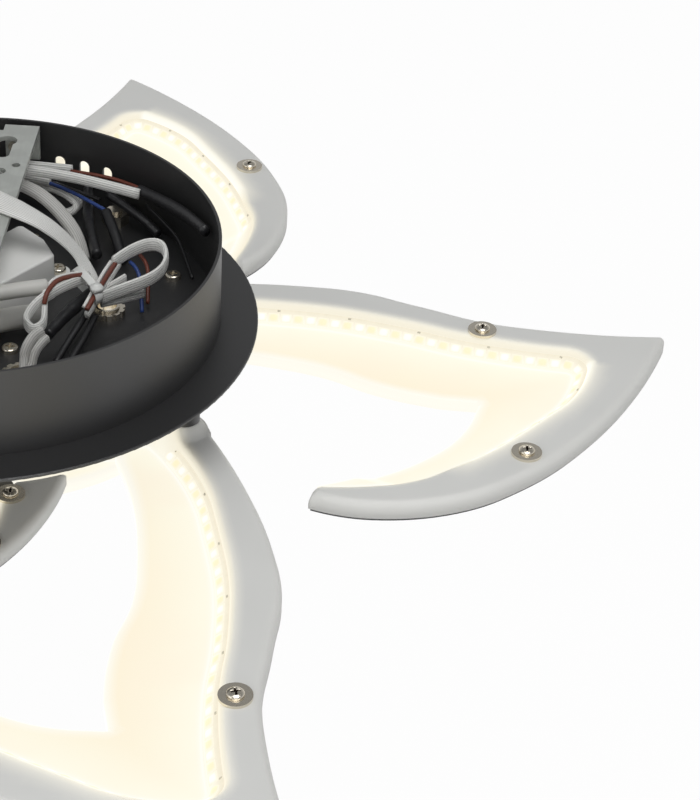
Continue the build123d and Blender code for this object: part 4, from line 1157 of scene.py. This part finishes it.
BROWN_WIRES = (
    (0.8, ((29, 86.3, -16.5), (41.8, 82.9, -16), (51.8, 78.2, -15.5), (61, 71.1, -15))),
    (0.95, ((56.9, 11.4, -16.5), (55, 0.6, -16), (53.4, -8, -16), (51.4, -14.4, -17.5),
     (49.7, -19.6, -19.5))),
    (0.95, ((45.8, -1, -15), (41.7, -8, -12), (37.5, -13.7, -10.5), (35.5, -19.9, -10.5),
     (34.5, -24, -11.5), (34.1, -25.2, -14.5))),
    (0.8, ((64.9, 28.5, -22), (68.1, 25, -23), (69.5, 18, -27), (70, 10, -33.5))),
)
BLUE_WIRES = (
    (0.8, ((20.3, 81, -20), (26.1, 78.6, -20.5), (34.5, 73, -21), (41.6, 67.3, -21.5), (48, 63.4, -22.5))),
    (0.8, ((61.9, 19.1, -20), (65.6, 15.6, -20.5), (67.5, 9, -26), (68.5, 3, -33.5))),
)
BLACK_WIRES = (
    (0.8, ((20.3, 83.4, -20.8), (27.5, 80.5, -21.2), (34.8, 77.1, -22), (42.8, 74.1, -23))),
    (0.8, ((28.9, 86.8, -18), (41.9, 82.5, -17.5), (51.9, 77.4, -17), (60.6, 71.3, -16))),
    (1.4, ((49, -11.8, -25), (45.5, -21.4, -28), (42.6, -28.7, -30.5), (39.8, -37.2, -33.2))),
    (1.4, ((51.7, -12, -27), (49.6, -23.1, -29), (47.1, -31, -31), (44.6, -38.2, -33.2))),
    (0.6, ((62.8, 70.3, -22), (76.5, 55.9, -26), (81.1, 46.6, -30), (86, 32.5, -33.8))),
)
TIE_BAND = ((48.6, 2.8, -27), (42.5, 11, -27), (40, 14, -24.5), (40.8, 10, -19), (44.3, 1.4, -14.6),
    (48.5, -6.3, -13.4), (51.9, -12, -13.4), (53.7, -14, -16), (53.8, -13.5, -20), (51.3, -5.5, -25.5))
TIE_HEAD = (52.6, -12.2, -14.2)
TIE_HEAD_SIZE = (4.4, 4.6, 3.4)
TIE_HEAD_TURN = -62.0


def shrunk(share):
    """A heat-shrunk sleeve's swell over the joint in its middle."""
    return 0.86 + 0.14 * np.exp(-((share - 0.45) / 0.25) ** 2) + 0.015 * np.sin(share * 40)


def gathered(share):
    """How a flat sleeve draws in towards its tie."""
    near = np.clip((share - 0.45) / 0.4, 0, 1)
    return 1.0 - 0.45 * near * near * (3 - 2 * near)


def add_leads(node, slot, meshes):
    """Several swept meshes as one piece, in place of a node."""
    new_piece(f"{node}_shown", joined(f"{node}_shown", meshes), "canopy", slot, node)


def make_tie():
    """The nylon tie: its band round the bundle and its square head."""
    band = swept("tie", TIE_BAND, 1.5, 0.5, (0.55, 0.35, 0.3), 6.0)
    work = bmesh.new()
    bmesh.ops.create_cube(work, size=1.0)
    bmesh.ops.scale(work, vec=[c * MM for c in TIE_HEAD_SIZE], verts=work.verts)
    bmesh.ops.bevel(work, geom=[*work.edges, *work.verts], offset=0.7 * MM, segments=3, affect="EDGES")
    turn = Matrix.Rotation(math.radians(TIE_HEAD_TURN), 4, "Z")
    place = Matrix.Translation([c * MM for c in TIE_HEAD])
    bmesh.ops.transform(work, matrix=place @ turn, verts=work.verts)
    head = bpy.data.meshes.new("head")
    work.to_mesh(head)
    work.free()
    head.shade_smooth()
    return joined("tie", [band, head])


add_leads("flat_sleeve", "white_braid", [swept("sleeve", FLAT_SLEEVE, 6.1, 1.4, LEVEL, 3.0, pinch=gathered)])
add_leads("grey_sleeves", "grey_braid", [swept("sleeve", r, w, h, lean) for w, h, lean, r in GREY_SLEEVES])
add_leads("white_sleeves", "white_braid", [
    *[swept("sleeve", r, w, h, lean) for w, h, lean, r in WHITE_SLEEVES],
    *[swept("core", r, w, w, UPRIGHT, 2.0) for w, r in WHITE_CORES]])
add_leads("white_tubes", "white_tube", [swept("tube", r, w, w, UPRIGHT, 2.0) for w, r in WHITE_TUBES])
add_leads("heat_shrinks", "black_tube",
          [swept("shrink", r, w, w * 0.92, UPRIGHT, 2.0, pinch=shrunk) for w, r in HEAT_SHRINKS])
for node, slot, group in (
        ("dark_sleeves", "black_tube", DARK_SLEEVES), ("brown_wires", "brown_wire", BROWN_WIRES),
        ("blue_wires", "blue_wire", BLUE_WIRES), ("black_wires", "black_wire", BLACK_WIRES)):
    add_leads(node, slot, [swept("wire", r, w, w, UPRIGHT, 2.0) for w, r in group])
add_leads("cable_tie", "tie_nylon", [make_tie()])


# CAD nodes that keep their shape get their finish

for name, node in nodes.items():
    if node.hide_render:
        continue
    node.data.materials.clear()
    node.data.materials.append(FINISHES[slot_of(name)])


# Studio

SKY_STOPS = ((0.0, (0.72, 0.72, 0.72, 1.0)), (0.75, (0.22, 0.225, 0.23, 1.0)))
FLOOR_Z = -420.0
FLOOR_REACH = 4000.0


def make_world():
    """White behind everything, and a soft sky that is brighter low down."""
    shade = Shade("studio", bpy.data.worlds)
    height = shade.node("ShaderNodeSeparateXYZ", {}, {0: shade.node("ShaderNodeTexCoord")}, "Z")
    sky = shade.node("ShaderNodeValToRGB", {"stops": SKY_STOPS}, {0: height})
    colour = shade.mix(shade.seen_by("Camera", "Transmission"), sky, (1, 1, 1, 1))
    shade.node_out(shade.node("ShaderNodeBackground", {}, {"Color": colour}), "ShaderNodeOutputWorld")
    scene.world = shade.material


def make_floor():
    """A pale floor below the light, clear from underneath."""
    shade = Shade("floor")
    seen = shade.seen_by("Camera", "Glossy", "Transmission")
    glow = shade.node("ShaderNodeEmission", {}, {"Color": (1, 1, 1, 1), "Strength": 1.0})
    plain = shade.node("ShaderNodeBsdfDiffuse", {}, {"Color": (0.8, 0.8, 0.8, 1)})
    both = shade.node("ShaderNodeMixShader", {}, {0: seen * 0.97, 1: plain, 2: glow})
    from_below = shade.node("ShaderNodeNewGeometry", output="Backfacing")
    clear = shade.node("ShaderNodeBsdfTransparent")
    shade.node_out(shade.node("ShaderNodeMixShader", {}, {0: from_below, 1: both, 2: clear}))
    far = FLOOR_REACH
    corners = [(-far, -far, FLOOR_Z), (far, -far, FLOOR_Z), (far, far, FLOOR_Z), (-far, far, FLOOR_Z)]
    mesh = mesh_from("floor", corners, [(0, 1, 2, 3)])
    mesh.materials.append(shade.material)
    floor = bpy.data.objects.new("floor", mesh)
    scene.collection.objects.link(floor)


def add_lamp(name, place, aim, size, power):
    """A soft square lamp, aimed at a point."""
    data = bpy.data.lights.new(name, "AREA")
    data.size = size
    data.energy = power
    lamp = bpy.data.objects.new(name, data)
    lamp.location = place
    lamp.rotation_euler = (Vector(aim) - Vector(place)).to_track_quat("-Z", "Y").to_euler()
    scene.collection.objects.link(lamp)


make_world()
make_floor()
add_lamp("key", (0.3, -0.5, 1.6), (0.05, 0.0, -0.05), 1.2, 16.5)
add_lamp("fill", (-1.3, -0.9, 0.9), (0.1, 0.0, -0.05), 1.3, 5.0)
add_lamp("front", (0.2, -1.7, -0.02), (0.1, 0.0, -0.04), 1.0, 5.0)

scene.view_settings.view_transform = "Standard"
